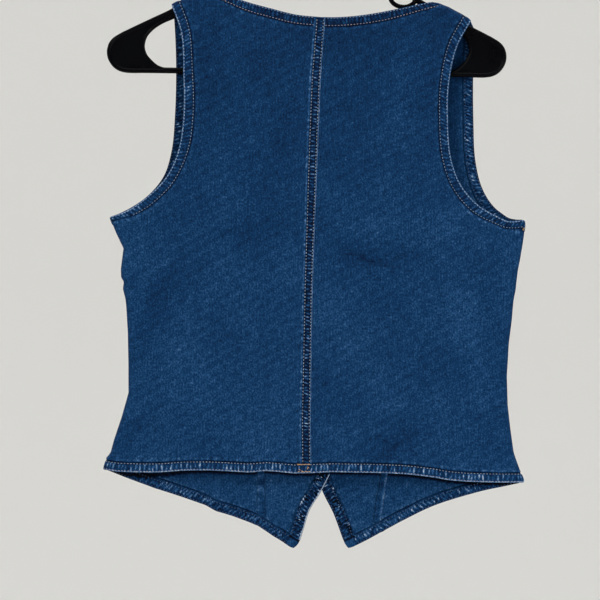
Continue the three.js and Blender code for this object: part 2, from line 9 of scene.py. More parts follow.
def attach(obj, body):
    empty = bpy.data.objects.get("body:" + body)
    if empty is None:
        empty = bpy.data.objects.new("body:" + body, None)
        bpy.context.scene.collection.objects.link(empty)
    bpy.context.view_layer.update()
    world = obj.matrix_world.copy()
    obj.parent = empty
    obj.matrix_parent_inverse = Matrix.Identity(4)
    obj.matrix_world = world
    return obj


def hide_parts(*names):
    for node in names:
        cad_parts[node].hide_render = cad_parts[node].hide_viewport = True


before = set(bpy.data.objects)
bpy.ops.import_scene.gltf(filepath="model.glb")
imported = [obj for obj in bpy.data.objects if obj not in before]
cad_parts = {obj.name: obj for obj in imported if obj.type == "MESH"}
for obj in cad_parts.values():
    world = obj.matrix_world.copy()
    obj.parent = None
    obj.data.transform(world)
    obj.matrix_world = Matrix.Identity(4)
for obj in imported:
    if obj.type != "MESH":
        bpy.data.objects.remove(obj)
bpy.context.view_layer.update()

# A denim waistcoat hung on a plain plastic tube hanger, seen from its back.
# Tables and sizes are in millimetres, as a maker would give them, and MM turns them to metres.
# A place on the flat cloth is (x, down): across the garment, and below the hanger's tips.
MM = 0.001
TIP_LEVEL = -180.0

# Cloth and seams
CLOTH = 1.0
SEAM_GAP = 0.1
SIDE_FOLD = 5.5
TOP_FOLD = 7.5
HEM_BAND = 10.2
FRONT_BAND = 12.4
CLOSING_BAND = 23.0
THREAD = 0.34
FINE_THREAD = 0.28
STITCH = {"pitch": 3.3, "long": 1.15, "rise": 0.26, "sink": 0.7}
STATION = 1.0

# Fronts and closure
FRONT_CENTRE = 31.8
LAP = 12.0
LAP_DEPTH = 3.8
CUTAWAY_TOP = 432.0
VEE_BOTTOM = 150.0
BUTTON = {"count": 5, "first": 172.0, "pitch": 64.0}
BUTTONHOLE = {"shift": -2.0, "half_long": 12.5, "half_wide": 1.4, "stitches": 76}
DART = {"top": 262.0, "wide_at_hem": 9.0, "wide_at_top": 2.5}

# The sewn line of each dart: down, x.
DART_LINES = {
    "left": [(262, -39.5), (443, -38.5), (490, -37.2)],
    "right": [(262, 101.8), (443, 99.4), (487, 94.6)],
}

# The right underarm is drawn up where its bands meet in a thick knot: x, down, rise, reach.
UNDERARM_KNOT = (236.1, 181.0, 8.8, 26.0)

# How far the hems sag below their plain lines: x, drop. The sag fades out over SAG_REACH above a level,
# which rises towards the fronts' sides, since their hems slope.
SAG = {
    "back": [
        (-197, 0.6), (-186, 1.9), (-163, 1.8), (-140, 1.1), (-118, -0.3), (-95, 0), (-72, 0.35), (-49, 0.35),
        (-40, -0.7), (-29, -2.2), (-16.5, -1.4), (1, 0.45), (18, 0.15), (40, -0.8), (62, -0.3), (75, -0.45),
        (102, -0.55), (128, -0.7), (149, -1), (162, 0.1), (182, 0.75), (214, 0.8), (236, 0.3),
    ],
    "front": [
        (-195, 0), (-172, 1.4), (-146, 2.6), (-114, 1.4), (-92, 0.8), (-81, 3.0), (-63, 1.4), (-37, -0.5),
        (-19, 1.9), (-3, 1.2), (10, 0), (190, 0),
    ],
}
SAG_LEVEL = {"back": 440, "front": 490}
SAG_SLOPE = {"back": 0, "front": 0.22}
SAG_MIDDLE = -3
SAG_REACH = 35

# The fronts' points are pressed round: x and down of a point and the way in, then how far and how wide.
POINTS = {"left": (3.2, 524.4, -0.36, -0.93), "right": (59.8, 523.6, 0.36, -0.93)}
POINT_PULL = 1.6
POINT_WIDE = 8.5

# Side outlines: down, x of the left side, x of the right side.
SIDES = [
    (181, -202, 235), (197, -195, 233.3), (213, -186.7, 231.1), (223, -187.7, 229.4), (235, -188.8, 228.3),
    (244, -188.2, 227.7), (248, -185.2, 226.9), (255.5, -186, 225.8), (266, -183, 225.1),
    (275, -181.8, 224.7), (300, -179.5, 222.3), (335, -177.7, 221.3), (365, -176.7, 223.1),
    (390, -182.9, 226.7), (415, -190.4, 231), (429, -193.6, 236.2), (434, -197.7, 238.6),
    (446, -200.8, 243.1),
]

# The centre back seam wanders a little as the cloth hangs: down, x.
CENTRE_BACK = [(-36.4, 13), (30, 10), (110, 9.3), (250, 9), (386, 10.8), (443, 13.2)]

# Edges, each row with the left side's x and down, then the right side's.
BACK_ARMHOLE = [
    (-202, 181, 235, 181), (-182, 172, 213, 170.5), (-160, 155, 186, 156.5),
    (-143, 135.5, 166, 135), (-131.9, 108, 155, 108), (-127.7, 72, 150.5, 70),
    (-129, 30, 150.5, 28), (-133, -15, 157.5, -9), (-144.5, -45.5, 172, -38.5),
]
FRONT_ARMHOLE = [
    (-202, 181, 235, 181), (-179, 168.5, 217, 167.5), (-161, 154, 202, 156),
    (-147, 134.6, 189.6, 137), (-139.8, 108, 181.6, 108), (-137.4, 70, 178.2, 66),
    (-137.7, 20, 176.4, 20), (-140.2, -20, 176.6, -16), (-142, -36, 176, -30), (-144.5, -45.5, 172, -38.5),
]
BACK_NECK = [
    (13, -36.4, 13, -36.4), (-13, -38.3, 34, -37.1), (-39, -43.9, 60, -40.4),
    (-67, -50.8, 96, -48.2), (-103, -63.5, 129, -56.8),
]
FRONT_NECK = [
    (FRONT_CENTRE + LAP, VEE_BOTTOM, FRONT_CENTRE - LAP, VEE_BOTTOM), (14, 113, 50, 112),
    (-24, 62, 84, 58), (-66, 2, 112, -2), (-103, -63.5, 129, -56.8),
]
BACK_HEM = [
    (13.2, 442.8, 13.2, 442.8), (-29, 444.2, 67, 441.2), (-86, 443.3, 118, 441.6),
    (-140, 446, 162, 445.6), (-200.8, 446, 243.1, 446),
]
FRONT_HEM = [
    (3.2, 524.4, 59.8, 523.6), (-17, 511.5, 80, 512.8), (-60, 492, 119, 490),
    (-94, 480, 150, 474), (-138, 465, 196, 458), (-181, 452.2, 224, 450.9), (-200.8, 446, 243.1, 446),
]
CUTAWAY = [
    (3.2, 524.4, 59.8, 523.6), (7.8, 517.6, 55.9, 516.5), (12.2, 504, 50.2, 502.9), (18.2, 483.4, 43.2, 486),
    (30, 462.4, 31, 463), (39.1, 443.1, 24.5, 443.1),
    (FRONT_CENTRE + LAP, CUTAWAY_TOP, FRONT_CENTRE - LAP, CUTAWAY_TOP),
]

# Turned widths: the back armholes' by the length from the underarm, and the neck's by that from an end.
BACK_ARMHOLE_WIDTHS = {
    "left": [(0, 4.4), (14, 5.6), (26, 8.2), (44, 10.2), (90, 10.4), (120, 11.6), (170, 11.6), (210, 10.4)],
    "right": [(0, 7.7), (25, 8.0), (62, 10.2)],
}
NECK_WIDTHS = [(0, 6.8), (50, HEM_BAND)]

# Between these levels a front's band widens below its vee, and narrows again into its cutaway.
VEE_WIDENS = (118, 168)
CLOSING_NARROWS = (400, 452)

# Shoulder lines from left to right: x, down.
SHOULDERS = {
    "left": [(-144.5, -45.5), (-136, -49.8), (-120, -56.8), (-103, -63.5)],
    "right": [(129, -56.8), (136, -55.8), (147.6, -52.1), (158.3, -46.7), (172, -38.5)],
}

# How far the cloth stands off the middle plane: down, at the outer edges, mid back, mid front.
DEPTHS = [
    (-64, 7.5, 8, 8), (0, 7.8, 11, 12), (100, 7, 14.5, 17), (181, 5.5, 15, 19),
    (335, 5.5, 11.5, 13.5), (446, 5.5, 13, 15), (522, 5.5, 13, 14.5),
]

# Soft folds: face, x, down, long, wide, turn in degrees (0 along X, 90 hanging straight), rise.
# The first rows are the largest ones, the rest the small creases of washed and worn cloth.
FOLDS = [
    ("back", 82, 214, 46, 17, -8, -2.6), ("back", 108, 405, 60, 19, 35, -2.2),
    ("back", -54, 196, 52, 18, 14, -2.0), ("back", -146, 268, 70, 19, 66, -2.4),
    ("back", -118, 356, 80, 20, 80, 2.2), ("back", 176, 300, 85, 20, 100, 2.0),
    ("back", 100, 60, 70, 20, 78, 1.8), ("back", -74, 40, 80, 22, 98, 1.8),
    ("front", -70, 190, 70, 20, 40, 2.6), ("front", 140, 196, 70, 20, 140, 2.4),
    ("front", -112, 330, 90, 22, 82, -2.6), ("front", 166, 340, 80, 20, 96, -2.2),
    ("front", 78, 470, 50, 20, 60, 1.6),
    ("back", 72, 218, 11, 2.1, -21, -0.75), ("back", 87, 221, 22, 4.6, -10, -0.6),
    ("back", 49, 211.5, 11, 2.6, 8, -0.4), ("back", 95.3, 407.5, 7.5, 1.3, -28, -0.5),
    ("back", 122.9, 416.3, 4.5, 1.2, -36, -0.4), ("back", 225, 188, 7, 1.8, -10, 0.35),
    ("back", 60, 212, 16, 5, -24, -0.5),
    ("back", 104, 214, 15, 4.5, 8, -0.55), ("back", -58, 190, 24, 5, 20, -0.5),
    ("back", -83, 207, 18, 5, 33, 0.45), ("back", -150, 262, 34, 6, 62, -0.8),
    ("back", -158, 300, 26, 6, 74, -0.7), ("back", -168, 238, 17, 4.5, 38, -0.6),
    ("back", -141, 226, 24, 5, 47, 0.5), ("back", -128, 318, 30, 7, 82, 0.5),
    ("back", 112, 407, 25, 5.5, 38, -0.75), ("back", 128, 392, 18, 5, 30, 0.45),
    ("back", 92, 424, 16, 5, 42, -0.4), ("back", -100, 404, 36, 7, 12, 0.4),
    ("back", -162, 392, 26, 6, 58, -0.55), ("back", 196, 262, 28, 6, 118, -0.6),
    ("back", 190, 338, 32, 6, 96, 0.55), ("back", 204, 398, 22, 5, 70, -0.5),
    ("back", 150, 176, 24, 5.5, 128, 0.5), ("back", 168, 196, 20, 5, 136, -0.55),
    ("back", 44, 330, 48, 8, 86, 0.4), ("back", -36, 310, 42, 8, 94, -0.4),
    ("back", 58, 110, 34, 7, 70, 0.45), ("back", -28, 96, 36, 7, 102, -0.4),
    ("back", 112, 6, 26, 6, 62, -0.45), ("back", -96, -14, 24, 6, 112, -0.45),
    ("front", -40, 246, 30, 6, 28, -0.7), ("front", 96, 240, 28, 6, 150, -0.65),
    ("front", -150, 226, 26, 5, 48, -0.7), ("front", 190, 226, 24, 5, 130, -0.6),
    ("front", -84, 120, 34, 7, 70, 0.6), ("front", 142, 110, 34, 7, 108, 0.55),
    ("front", -132, 396, 36, 6, 70, 0.5), ("front", 186, 400, 32, 6, 108, 0.5),
    ("front", 6, 300, 40, 7, 84, -0.5), ("front", 60, 380, 36, 7, 96, 0.45),
    ("front", -28, 420, 34, 7, 22, 0.5), ("front", 118, 440, 30, 6, 152, -0.5),
    ("front", -60, 470, 26, 6, 34, -0.5), ("front", 20, 486, 20, 5, 66, -0.4),
]

# How much a fold shows as wear on its ridge and painted shade in its trough, for its rise over its width.
FOLD_SHADE = 0.3

# Wear of plain cloth, from 0, the darkest, to 1, and how much paler the cloth is at the waist than at the
# shoulders.
CLOTH_WEAR = {"back": 0.415, "front": 0.44}
WAIST_PALENESS = 0.075

# Share of each long edge at which it changes from one seam to the next.
UNDERARM = 0.48
CUTAWAY_END = 0.18
VEE_START = 0.6

# A panel's grid. It is closer at these distances from the edges, for the seams and folds there, and the
# lengths of a side seam and an armhole turn them to shares.
MARGIN = [0, 1.2, 2.4, 3.7, 5, 6.3, 7.6, 8.8, 9.7, 10.5, 11.3, 12.3, 13.8, 16, 19]
MIDDLE_COLUMNS = 80
LOWER_ROWS = 116
UPPER_ROWS = 112
SIDE_LENGTH = 265.0
UPPER_LENGTH = 262.0

# More rows over the back's finest creases: the shares of the long edge that they span, and how many.
CREASE_ROWS = [(0.052, 0.084, 14), (0.4535, 0.4915, 20)]


def column(table, index):
    return np.array([row[index] for row in table], float)


def look_up(table, at, index=1):
    """A column of a table, read at values of its first column."""
    return np.interp(at, column(table, 0), column(table, index))


def smoothstep(value, low, high):
    share = np.clip((value - low) / (high - low), 0, 1)
    return share * share * (3 - 2 * share)


def side_x(side, down):
    return look_up(SIDES, down, 1 if side == "left" else 2)


def smooth_line(points, steps=24):
    """A smooth line through the points, as a centripetal Catmull-Rom spline."""
    points = np.array(points, float)
    first = 2 * points[0] - points[1]
    last = 2 * points[-1] - points[-2]
    knots = np.vstack([first, points, last])
    pieces = []
    for a, b, c, d in zip(knots, knots[1:], knots[2:], knots[3:]):
        tb = math.sqrt(np.linalg.norm(b - a))
        tc = tb + math.sqrt(np.linalg.norm(c - b))
        td = tc + math.sqrt(np.linalg.norm(d - c))
        t = np.linspace(tb, tc, steps, endpoint=False)[:, None]
        ab = ((tb - t) * a + t * b) / tb
        bc = ((tc - t) * b + (t - tb) * c) / (tc - tb)
        cd = ((td - t) * c + (t - tc) * d) / (td - tc)
        abc = ((tc - t) * ab + t * bc) / tc
        bcd = ((td - t) * bc + (t - tb) * cd) / (td - tb)
        pieces.append(((tc - t) * abc + (t - tb) * bcd) / (tc - tb))
    return np.vstack([*pieces, points[-1:]])


def edge_line(table, side):
    first = 0 if side == "left" else 2
    return smooth_line([row[first:first + 2] for row in table])


def lengths_along(line):
    steps = np.linalg.norm(np.diff(line, axis=0), axis=1)
    return np.concatenate([[0], np.cumsum(steps)])


def at_share(line, share):
    """Places on a line at shares of its length."""
    run = lengths_along(line)
    want = np.asarray(share) * run[-1]
    return np.stack([np.interp(want, run, line[:, k]) for k in range(line.shape[1])], -1)


def evenly(line, step):
    count = max(2, round(lengths_along(line)[-1] / step))
    return at_share(line, np.linspace(0, 1, count + 1))


def unroll(side, place):
    """A place seen from the front becomes a place on the cloth, whose side is rolled at its seam."""
    way = 1 if side == "right" else -1
    x, down = place[..., 0], place[..., 1]
    limit = side_x(side, down) - way * SIDE_FOLD
    past = np.clip((x - limit) * way / SIDE_FOLD, 0, 1)
    rolled = limit + way * SIDE_FOLD * np.arcsin(past)
    return np.stack([np.where(past > 0, rolled, x), down], -1)


def one_fold(fold, x, down):
    _, fold_x, fold_down, long, wide, degrees, height = fold
    turn = math.radians(degrees)
    dx = x - fold_x
    dz = fold_down - down
    along = (dx * math.cos(turn) + dz * math.sin(turn)) / long
    over = (dz * math.cos(turn) - dx * math.sin(turn)) / wide
    return height * np.exp(-along * along - over * over)


def fold_rise(face, x, down):
    return sum(one_fold(fold, x, down) for fold in FOLDS if fold[0] == face)


def fold_shade(face, x, down):
    """Painted shade in the folds' troughs and wear on their ridges: narrow ones show most."""
    shade = np.zeros_like(x)
    for fold in FOLDS:
        narrow = (*fold[:6], fold[6] * FOLD_SHADE / fold[4])
        shade += one_fold(narrow, x, down) if fold[0] == face else 0
    return shade


def dart_x(side, down):
    return look_up(DART_LINES[side], down)


def dart_furrow(side, x, down):
    """The pinched line where a dart is sewn, fading out at its upper end."""
    off = (x - dart_x(side, down)) / 1.7
    return -0.75 * np.exp(-off * off) * smoothstep(down, DART["top"] - 6, DART["top"] + 30)


def below_shoulder(x, down):
    """How far below the shoulder's top line a place lies."""
    below = None
    for side in ("left", "right"):
        table = SHOULDERS[side]
        xs = column(table, 0)
        slope = (table[-1][1] - table[0][1]) / (xs[-1] - xs[0])
        top = look_up(table, x)
        top = top + np.where(x < xs[0], (x - xs[0]) * slope, 0)
        top = top + np.where(x > xs[-1], (x - xs[-1]) * slope, 0)
        here = (down - top) / math.hypot(1, slope)
        below = here if below is None else np.where(x < FRONT_CENTRE, below, here)
    return below


def hem_sag(face, x, down):
    """How far a place near a hem hangs below where the plain line would have it."""
    level = down + SAG_SLOPE[face] * np.abs(x - SAG_MIDDLE)
    return look_up(SAG[face], x) * smoothstep(level, SAG_LEVEL[face] - SAG_REACH, SAG_LEVEL[face])


def cloth_points(face, side, places):
    """Where places on the flat cloth lie in space, on the outer face of a panel."""
    if face == "front":
        tip_x, tip_down, way_x, way_down = POINTS[side]
        near = np.hypot(places[..., 0] - tip_x, places[..., 1] - tip_down)
        pull = POINT_PULL * np.maximum(0, 1 - near / POINT_WIDE) ** 2
        places = places + pull[..., None] * np.array([way_x, way_down])
    flat_x, down = places[..., 0], places[..., 1]
    down = down + hem_sag(face, flat_x, down)
    if side == "right":
        knot_x, knot_down, knot_rise, knot_reach = UNDERARM_KNOT
        near = np.hypot(flat_x - knot_x, down - knot_down)
        down = down - knot_rise * (1 - smoothstep(near, 0, knot_reach))
    x = flat_x
    roll = np.ones_like(flat_x)
    for edge, way in (("left", -1), ("right", 1)):
        limit = side_x(edge, down) - way * SIDE_FOLD
        turn = (flat_x - limit) * way / SIDE_FOLD
        x = np.where(turn > 0, limit + way * SIDE_FOLD * np.sin(turn), x)
        roll = np.where(turn > 0, np.cos(turn), roll)
    left, right = side_x("left", down), side_x("right", down)
    across = (2 * x - left - right) / (right - left)
    edge_depth, mid_depth = look_up(DEPTHS, down), look_up(DEPTHS, down, 2 if face == "back" else 3)
    depth = edge_depth + (mid_depth - edge_depth) * np.maximum(0, 1 - across * across)
    calm = smoothstep(1 - np.abs(across), 0.03, 0.2) * smoothstep(down, -20, 30)
    depth = depth + fold_rise(face, x, down) * calm
    if face == "front":
        depth = depth + dart_furrow(side, x, down)
        if side == "left":
            depth = depth - LAP_DEPTH * smoothstep(x, FRONT_CENTRE - 62, FRONT_CENTRE - LAP - 4)
    below = below_shoulder(x, down)
    turned = np.minimum(1, np.abs(below) / TOP_FOLD)
    arch = np.sign(below) * np.sqrt(1 - (1 - turned) ** 2)
    away = -1 if face == "back" else 1
    y = away * (SEAM_GAP / 2 + depth * roll * arch)
    return np.stack([x, y, TIP_LEVEL - down], -1)


def lifted(face, side, places, lift):
    """Points at a height off the cloth's outer face, along its outward normal."""
    step = 0.05
    right, lower = np.array([step, 0]), np.array([0, step])
    across = cloth_points(face, side, places + right) - cloth_points(face, side, places - right)
    along = cloth_points(face, side, places + lower) - cloth_points(face, side, places - lower)
    normal = np.cross(across, along)
    normal /= np.linalg.norm(normal, axis=-1, keepdims=True)
    outward = -1 if face == "back" else 1
    return cloth_points(face, side, places) + outward * normal * lift[..., None]


def nearest_on(line, places):
    """Each place's distance from a line of closely spaced points, and how far along it that is."""
    run = lengths_along(line)
    flat = places.reshape(-1, 2)
    far, where = np.empty(len(flat)), np.empty(len(flat))
    for start in range(0, len(flat), 2000):
        part = flat[start:start + 2000]
        gaps = np.linalg.norm(part[:, None, :] - line[None], axis=2)
        best = gaps.argmin(1)
        far[start:start + 2000] = gaps[np.arange(len(part)), best]
        where[start:start + 2000] = run[best]
    return far.reshape(places.shape[:-1]), where.reshape(places.shape[:-1])


def side_line(side):
    down = np.linspace(SIDES[-1][0], SIDES[0][0], 60)
    return unroll(side, np.stack([side_x(side, down), down], -1))


def flat_edge(table, side):
    return unroll(side, edge_line(table, side))


def toward(line, far=14.0):
    """The direction of a line as it leaves its first point."""
    way = at_share(line, min(1.0, far / lengths_along(line)[-1])) - line[0]
    return way / np.linalg.norm(way)


def make_edges():
    """Every sewn edge: its line on the flat cloth, the seams' ways at its ends and the turned width."""
    edges = {}

    def add_edge(name, line, start, stop, width=HEM_BAND):
        line = evenly(line, STATION)
        width = np.broadcast_to(width, len(line)).astype(float)
        edges[name] = {"line": line, "ends": (start, stop), "width": width}
        return edges[name]

    shoulders = {"left": SHOULDERS["left"][::-1], "right": SHOULDERS["right"]}
    shoulders = {side: np.array(line, float) for side, line in shoulders.items()}
    for side, from_neck in shoulders.items():
        up_side = side_line(side)
        for face, table in (("back", BACK_ARMHOLE), ("front", FRONT_ARMHOLE)):
            name, line = face + "_armhole_" + side, flat_edge(table, side)
            edge = add_edge(name, line, toward(up_side[::-1]), toward(from_neck[::-1]))
            if face == "back":
                edge["width"] = look_up(BACK_ARMHOLE_WIDTHS[side], lengths_along(edge["line"]))
        hem, cutaway, neck = flat_edge(FRONT_HEM, side), edge_line(CUTAWAY, side), edge_line(FRONT_NECK, side)
        closing = evenly(np.array([cutaway[-1], neck[0]]), STATION)
        opening = np.vstack([cutaway, closing[1:-1], neck])
        down = evenly(opening, STATION)[:, 1]
        lower = FRONT_BAND + (CLOSING_BAND - FRONT_BAND) * (1 - smoothstep(down, *CLOSING_NARROWS))
        width = HEM_BAND + (lower - HEM_BAND) * smoothstep(down, *VEE_WIDENS)
        add_edge("front_hem_" + side, hem, toward(cutaway), toward(up_side))
        add_edge("front_opening_" + side, opening, toward(hem), toward(from_neck), width)
    left, right = flat_edge(BACK_HEM, "left"), flat_edge(BACK_HEM, "right")
    ends = [toward(side_line(side)) for side in ("left", "right")]
    add_edge("back_hem", np.vstack([left[::-1], right[1:]]), *ends)
    left, right = edge_line(BACK_NECK, "left"), edge_line(BACK_NECK, "right")
    ends = [toward(line) for line in shoulders.values()]
    neck = add_edge("back_neck", np.vstack([left[::-1], right[1:]]), *ends)
    run = lengths_along(neck["line"])
    neck["width"] = look_up(NECK_WIDTHS, np.minimum(run, run[-1] - run))
    return edges


EDGES = make_edges()
SEWN = {
    ("back", "left"): ("back_hem", "back_neck", "back_armhole_left"),
    ("back", "right"): ("back_hem", "back_neck", "back_armhole_right"),
    ("front", "left"): ("front_hem_left", "front_opening_left", "front_armhole_left"),
    ("front", "right"): ("front_hem_right", "front_opening_right", "front_armhole_right"),
}


def uneven_wave(run, period, phase):
    """A wave along a seam whose length and height change as it goes."""
    swell = 0.65 + 0.35 * np.sin(run * 2 * math.pi / (period * 5.3) + phase * 2.1)
    drift = 1.4 * np.sin(run * 2 * math.pi / (period * 3.7) + phase)
    return swell * np.sin(run * 2 * math.pi / period + drift + phase)


# How dark the line is where the cloth goes under each kind of band: unworn indigo there, with painted shade.
DITCH = {"hem": 0.42, "neck": 0.3, "armhole": 0.2, "opening": 0.22}


def hem_shade(face, places):
    """The painted shadow on the fronts' inside, just below the back's hem."""
    if face == "back":
        return np.zeros(places.shape[:-1])
    hem = EDGES["back_hem"]["line"]
    below = places[..., 1] - np.interp(places[..., 0], hem[:, 0], hem[:, 1])
    below = below - look_up(SAG["back"], places[..., 0])
    return -0.8 * np.exp(-((below - 1.6) / 1.7) ** 2)


def seam_pull(face, side, places):
    """Beside each sewn edge the cloth dips under the turned band, rolls up and puckers a little. The dip is
    darker, as unworn indigo and painted shade.
    """
    lift = np.zeros(places.shape[:-1])
    wear_and_shade = np.zeros(places.shape[:-1])
    for phase, name in enumerate(SEWN[face, side]):
        edge = EDGES[name]
        far, run = nearest_on(edge["line"], places)
        width = np.interp(run, lengths_along(edge["line"]), edge["width"])
        past = far - width
        dip = 1 - smoothstep(past, -1.0, 1.3)
        wave = uneven_wave(run, 7.6, phase + 0.7)
        near = np.exp(-np.maximum(0, past - 2) / 7.0) * smoothstep(past, 0, 3)
        lift += -1.25 * dip + near * (0.16 + 0.26 * wave)
        # Painted shade, with unworn indigo, in the dip under the band.
        dark = DITCH[name.split("_")[1]] * (0.75 + 0.4 * uneven_wave(run, 61.0, phase))
        wear_and_shade += -dark * (1 - smoothstep(past, -0.2, 1.3)) * (past > -1.5)
        wear_and_shade += np.exp(-((past - 2.2) / 1.3) ** 2) * (0.06 + 0.13 * wave)
    return lift, wear_and_shade


def panel_edges(face, side):
    """A panel's inner and outer long edges, each a function of a share, and its hem and top as lines."""
    hole = edge_line(BACK_ARMHOLE if face == "back" else FRONT_ARMHOLE, side)
    hem = edge_line(BACK_HEM if face == "back" else FRONT_HEM, side)
    shoulder = np.array(SHOULDERS[side], float)
    if side == "left":
        shoulder = shoulder[::-1]

    def outer(v):
        low = hem[-1, 1] + (hole[0, 1] - hem[-1, 1]) * np.minimum(1, v / UNDERARM)
        side_part = np.stack([side_x(side, low), low], -1)
        upper = at_share(hole, np.clip((v - UNDERARM) / (1 - UNDERARM), 0, 1))
        return np.where((v <= UNDERARM)[..., None], side_part, upper)

    if face == "back":
        neck = edge_line(BACK_NECK, side)
        top = np.vstack([neck, shoulder[1:]])

        def inner(v):
            down = hem[0, 1] + (neck[0, 1] - hem[0, 1]) * v
            return np.stack([look_up(CENTRE_BACK, down), down], -1)
    else:
        cutaway, neck = edge_line(CUTAWAY, side), edge_line(FRONT_NECK, side)
        top = shoulder

        def inner(v):
            low = at_share(cutaway, np.clip(v / CUTAWAY_END, 0, 1))
            share = np.clip((v - CUTAWAY_END) / (VEE_START - CUTAWAY_END), 0, 1)
            middle = cutaway[-1] + (neck[0] - cutaway[-1]) * share[..., None]
            high = at_share(neck, np.clip((v - VEE_START) / (1 - VEE_START), 0, 1))
            lower = np.where((v <= CUTAWAY_END)[..., None], low, middle)
            return np.where((v <= VEE_START)[..., None], lower, high)
    return inner, outer, hem, top


def panel_places(face, side):
    """A grid of places on a panel's flat cloth, blended from its four edges."""
    inner, outer, hem, top = panel_edges(face, side)
    margin = np.array(MARGIN, float)
    lower = margin / SIDE_LENGTH * UNDERARM
    upper = 1 - margin[::-1] / UPPER_LENGTH * (1 - UNDERARM)
    middle = np.linspace(lower[-1], UNDERARM, LOWER_ROWS)[1:]
    above = np.linspace(UNDERARM, upper[0], UPPER_ROWS)[1:-1]
    v = np.concatenate([lower, middle, above, upper])
    if face == "back":
        v = np.unique(np.concatenate([v, *(np.linspace(*rows) for rows in CREASE_ROWS)]))
    starts, stops = unroll(side, inner(v)), unroll(side, outer(v))
    reach = np.linalg.norm(stops - starts, axis=1)
    rows = []
    for length in reach:
        near = margin / length
        between = np.linspace(near[-1], 1 - near[-1], MIDDLE_COLUMNS)[1:-1]
        rows.append(np.concatenate([near, between, 1 - near[::-1]]))
    u = np.array(rows)
    places = starts[:, None] * (1 - u[..., None]) + stops[:, None] * u[..., None]
    for line, base, weight in ((hem, 0, (1 - v) ** 2), (top, -1, v ** (3 if face == "back" else 4))):
        straight = starts[base] + (stops[base] - starts[base]) * u[..., None]
        pull = unroll(side, at_share(line, u)) - straight
        places = places + pull * weight[:, None, None]
    return places


def srgb(code):
    """A linear colour with alpha from an sRGB hex code."""
    parts = [int(code[i:i + 2], 16) / 255 for i in (1, 3, 5)]
    linear = [p / 12.92 if p <= 0.04045 else ((p + 0.055) / 1.055) ** 2.4 for p in parts]
    return (*linear, 1.0)


def add_node(tree, kind, inputs=None, **settings):
    """One node with its settings. An input is a value or another node's output."""
    node = tree.nodes.new(kind)
    for name, value in settings.items():
        setattr(node, name, value)
    for name, value in (inputs or {}).items():
        if isinstance(value, bpy.types.NodeSocket):
            tree.links.new(value, node.inputs[name])
        else:
            node.inputs[name].default_value = value
    return node


def new_material(name, **shader_values):
    material = bpy.data.materials.new(name)
    material.use_nodes = True
    tree = material.node_tree
    shader = tree.nodes["Principled BSDF"]
    for socket, value in shader_values.items():
        shader.inputs[socket.replace("_", " ")].default_value = value
    return material, tree, shader


def colour_steps(tree, value, stops):
    ramp = add_node(tree, "ShaderNodeValToRGB", {"Fac": value})
    band = ramp.color_ramp
    while len(band.elements) < len(stops):
        band.elements.new(0.5)
    for element, (at, code) in zip(band.elements, stops):
        element.position = at
        element.color = srgb(code)
    return ramp.outputs["Color"]


def per_metre(millimetres):
    """A noise texture's scale for spots about this wide."""
    return 1000.0 / millimetres


def weighted_sum(tree, start, terms):
    """start plus each value, less its middle, times its weight."""
    total = start
    for value, middle, weight in terms:
        off = add_node(tree, "ShaderNodeMath", {0: value, 1: middle}, operation="SUBTRACT")
        total = add_node(
            tree, "ShaderNodeMath", {0: off.outputs[0], 1: weight, 2: total}, operation="MULTIPLY_ADD"
        ).outputs[0]
    return total


def washed_denim():
    """Indigo cotton twill, woven and stone washed: matt, mottled, pale where folds have rubbed."""
    material, tree, shader = new_material(
        "washed indigo denim", Roughness=0.88, IOR=1.45, Sheen_Weight=0.025, Sheen_Roughness=0.5,
        Sheen_Tint=srgb("#6f8fb8"), Specular_IOR_Level=0.08,
    )
    cloth = add_node(tree, "ShaderNodeUVMap", uv_map="cloth").outputs["UV"]
    warp_way = add_node(tree, "ShaderNodeMapping", {"Vector": cloth, "Scale": (1, 0.72, 1)}).outputs[0]
    slub_way = add_node(tree, "ShaderNodeMapping", {"Vector": cloth, "Scale": (1, 0.1, 1)}).outputs[0]
    speckle, slubs, cloud, wash = [
        add_node(
            tree, "ShaderNodeTexNoise",
            {"Vector": way, "Scale": per_metre(spots), "Detail": detail, "Roughness": rough},
        ).outputs["Fac"]
        for way, spots, detail, rough in (
            (warp_way, 1.55, 2.0, 0.6), (slub_way, 1.7, 1.0, 0.5),
            (cloth, 8.5, 2.0, 0.6), (cloth, 70, 3.0, 0.55),
        )
    ]
    # The real twill lines are 0.6 mm apart, too fine for the picture, so they are drawn at 1.5 mm.
    twill_way = add_node(
        tree, "ShaderNodeMapping", {"Vector": cloth, "Rotation": (0, 0, math.radians(58))}
    ).outputs[0]
    twill = add_node(
        tree, "ShaderNodeTexWave",
        {"Vector": twill_way, "Scale": per_metre(1.5) / 20, "Distortion": 1.2, "Detail": 1.0,
         "Detail Scale": 2.0},
        wave_type="BANDS",
    ).outputs["Fac"]
    # The cloth's wear together with its painted shade, read from the panels' and bands' attribute.
    worn = add_node(tree, "ShaderNodeAttribute", attribute_name="wear_and_shade").outputs["Fac"]
    value = weighted_sum(
        tree, worn,
        [(speckle, 0.5, 0.72), (slubs, 0.5, 0.2), (cloud, 0.5, 0.2), (wash, 0.5, 0.2), (twill, 0.5, 0.04)],
    )
    colour = colour_steps(
        tree, value,
        [(0.0, "#01060f"), (0.25, "#031430"), (0.5, "#0b3056"), (0.66, "#254c76"),
         (0.82, "#5d7797"), (1.0, "#a2aebf")],
    )
    weave = weighted_sum(tree, 0.5, [(speckle, 0.5, 0.7), (twill, 0.5, 0.35)])
    bump = add_node(
        tree, "ShaderNodeBump", {"Height": weave, "Strength": 0.55, "Distance": 0.45 * MM}
    ).outputs["Normal"]
    tree.links.new(colour, shader.inputs["Base Color"])
    tree.links.new(bump, shader.inputs["Normal"])
    return material


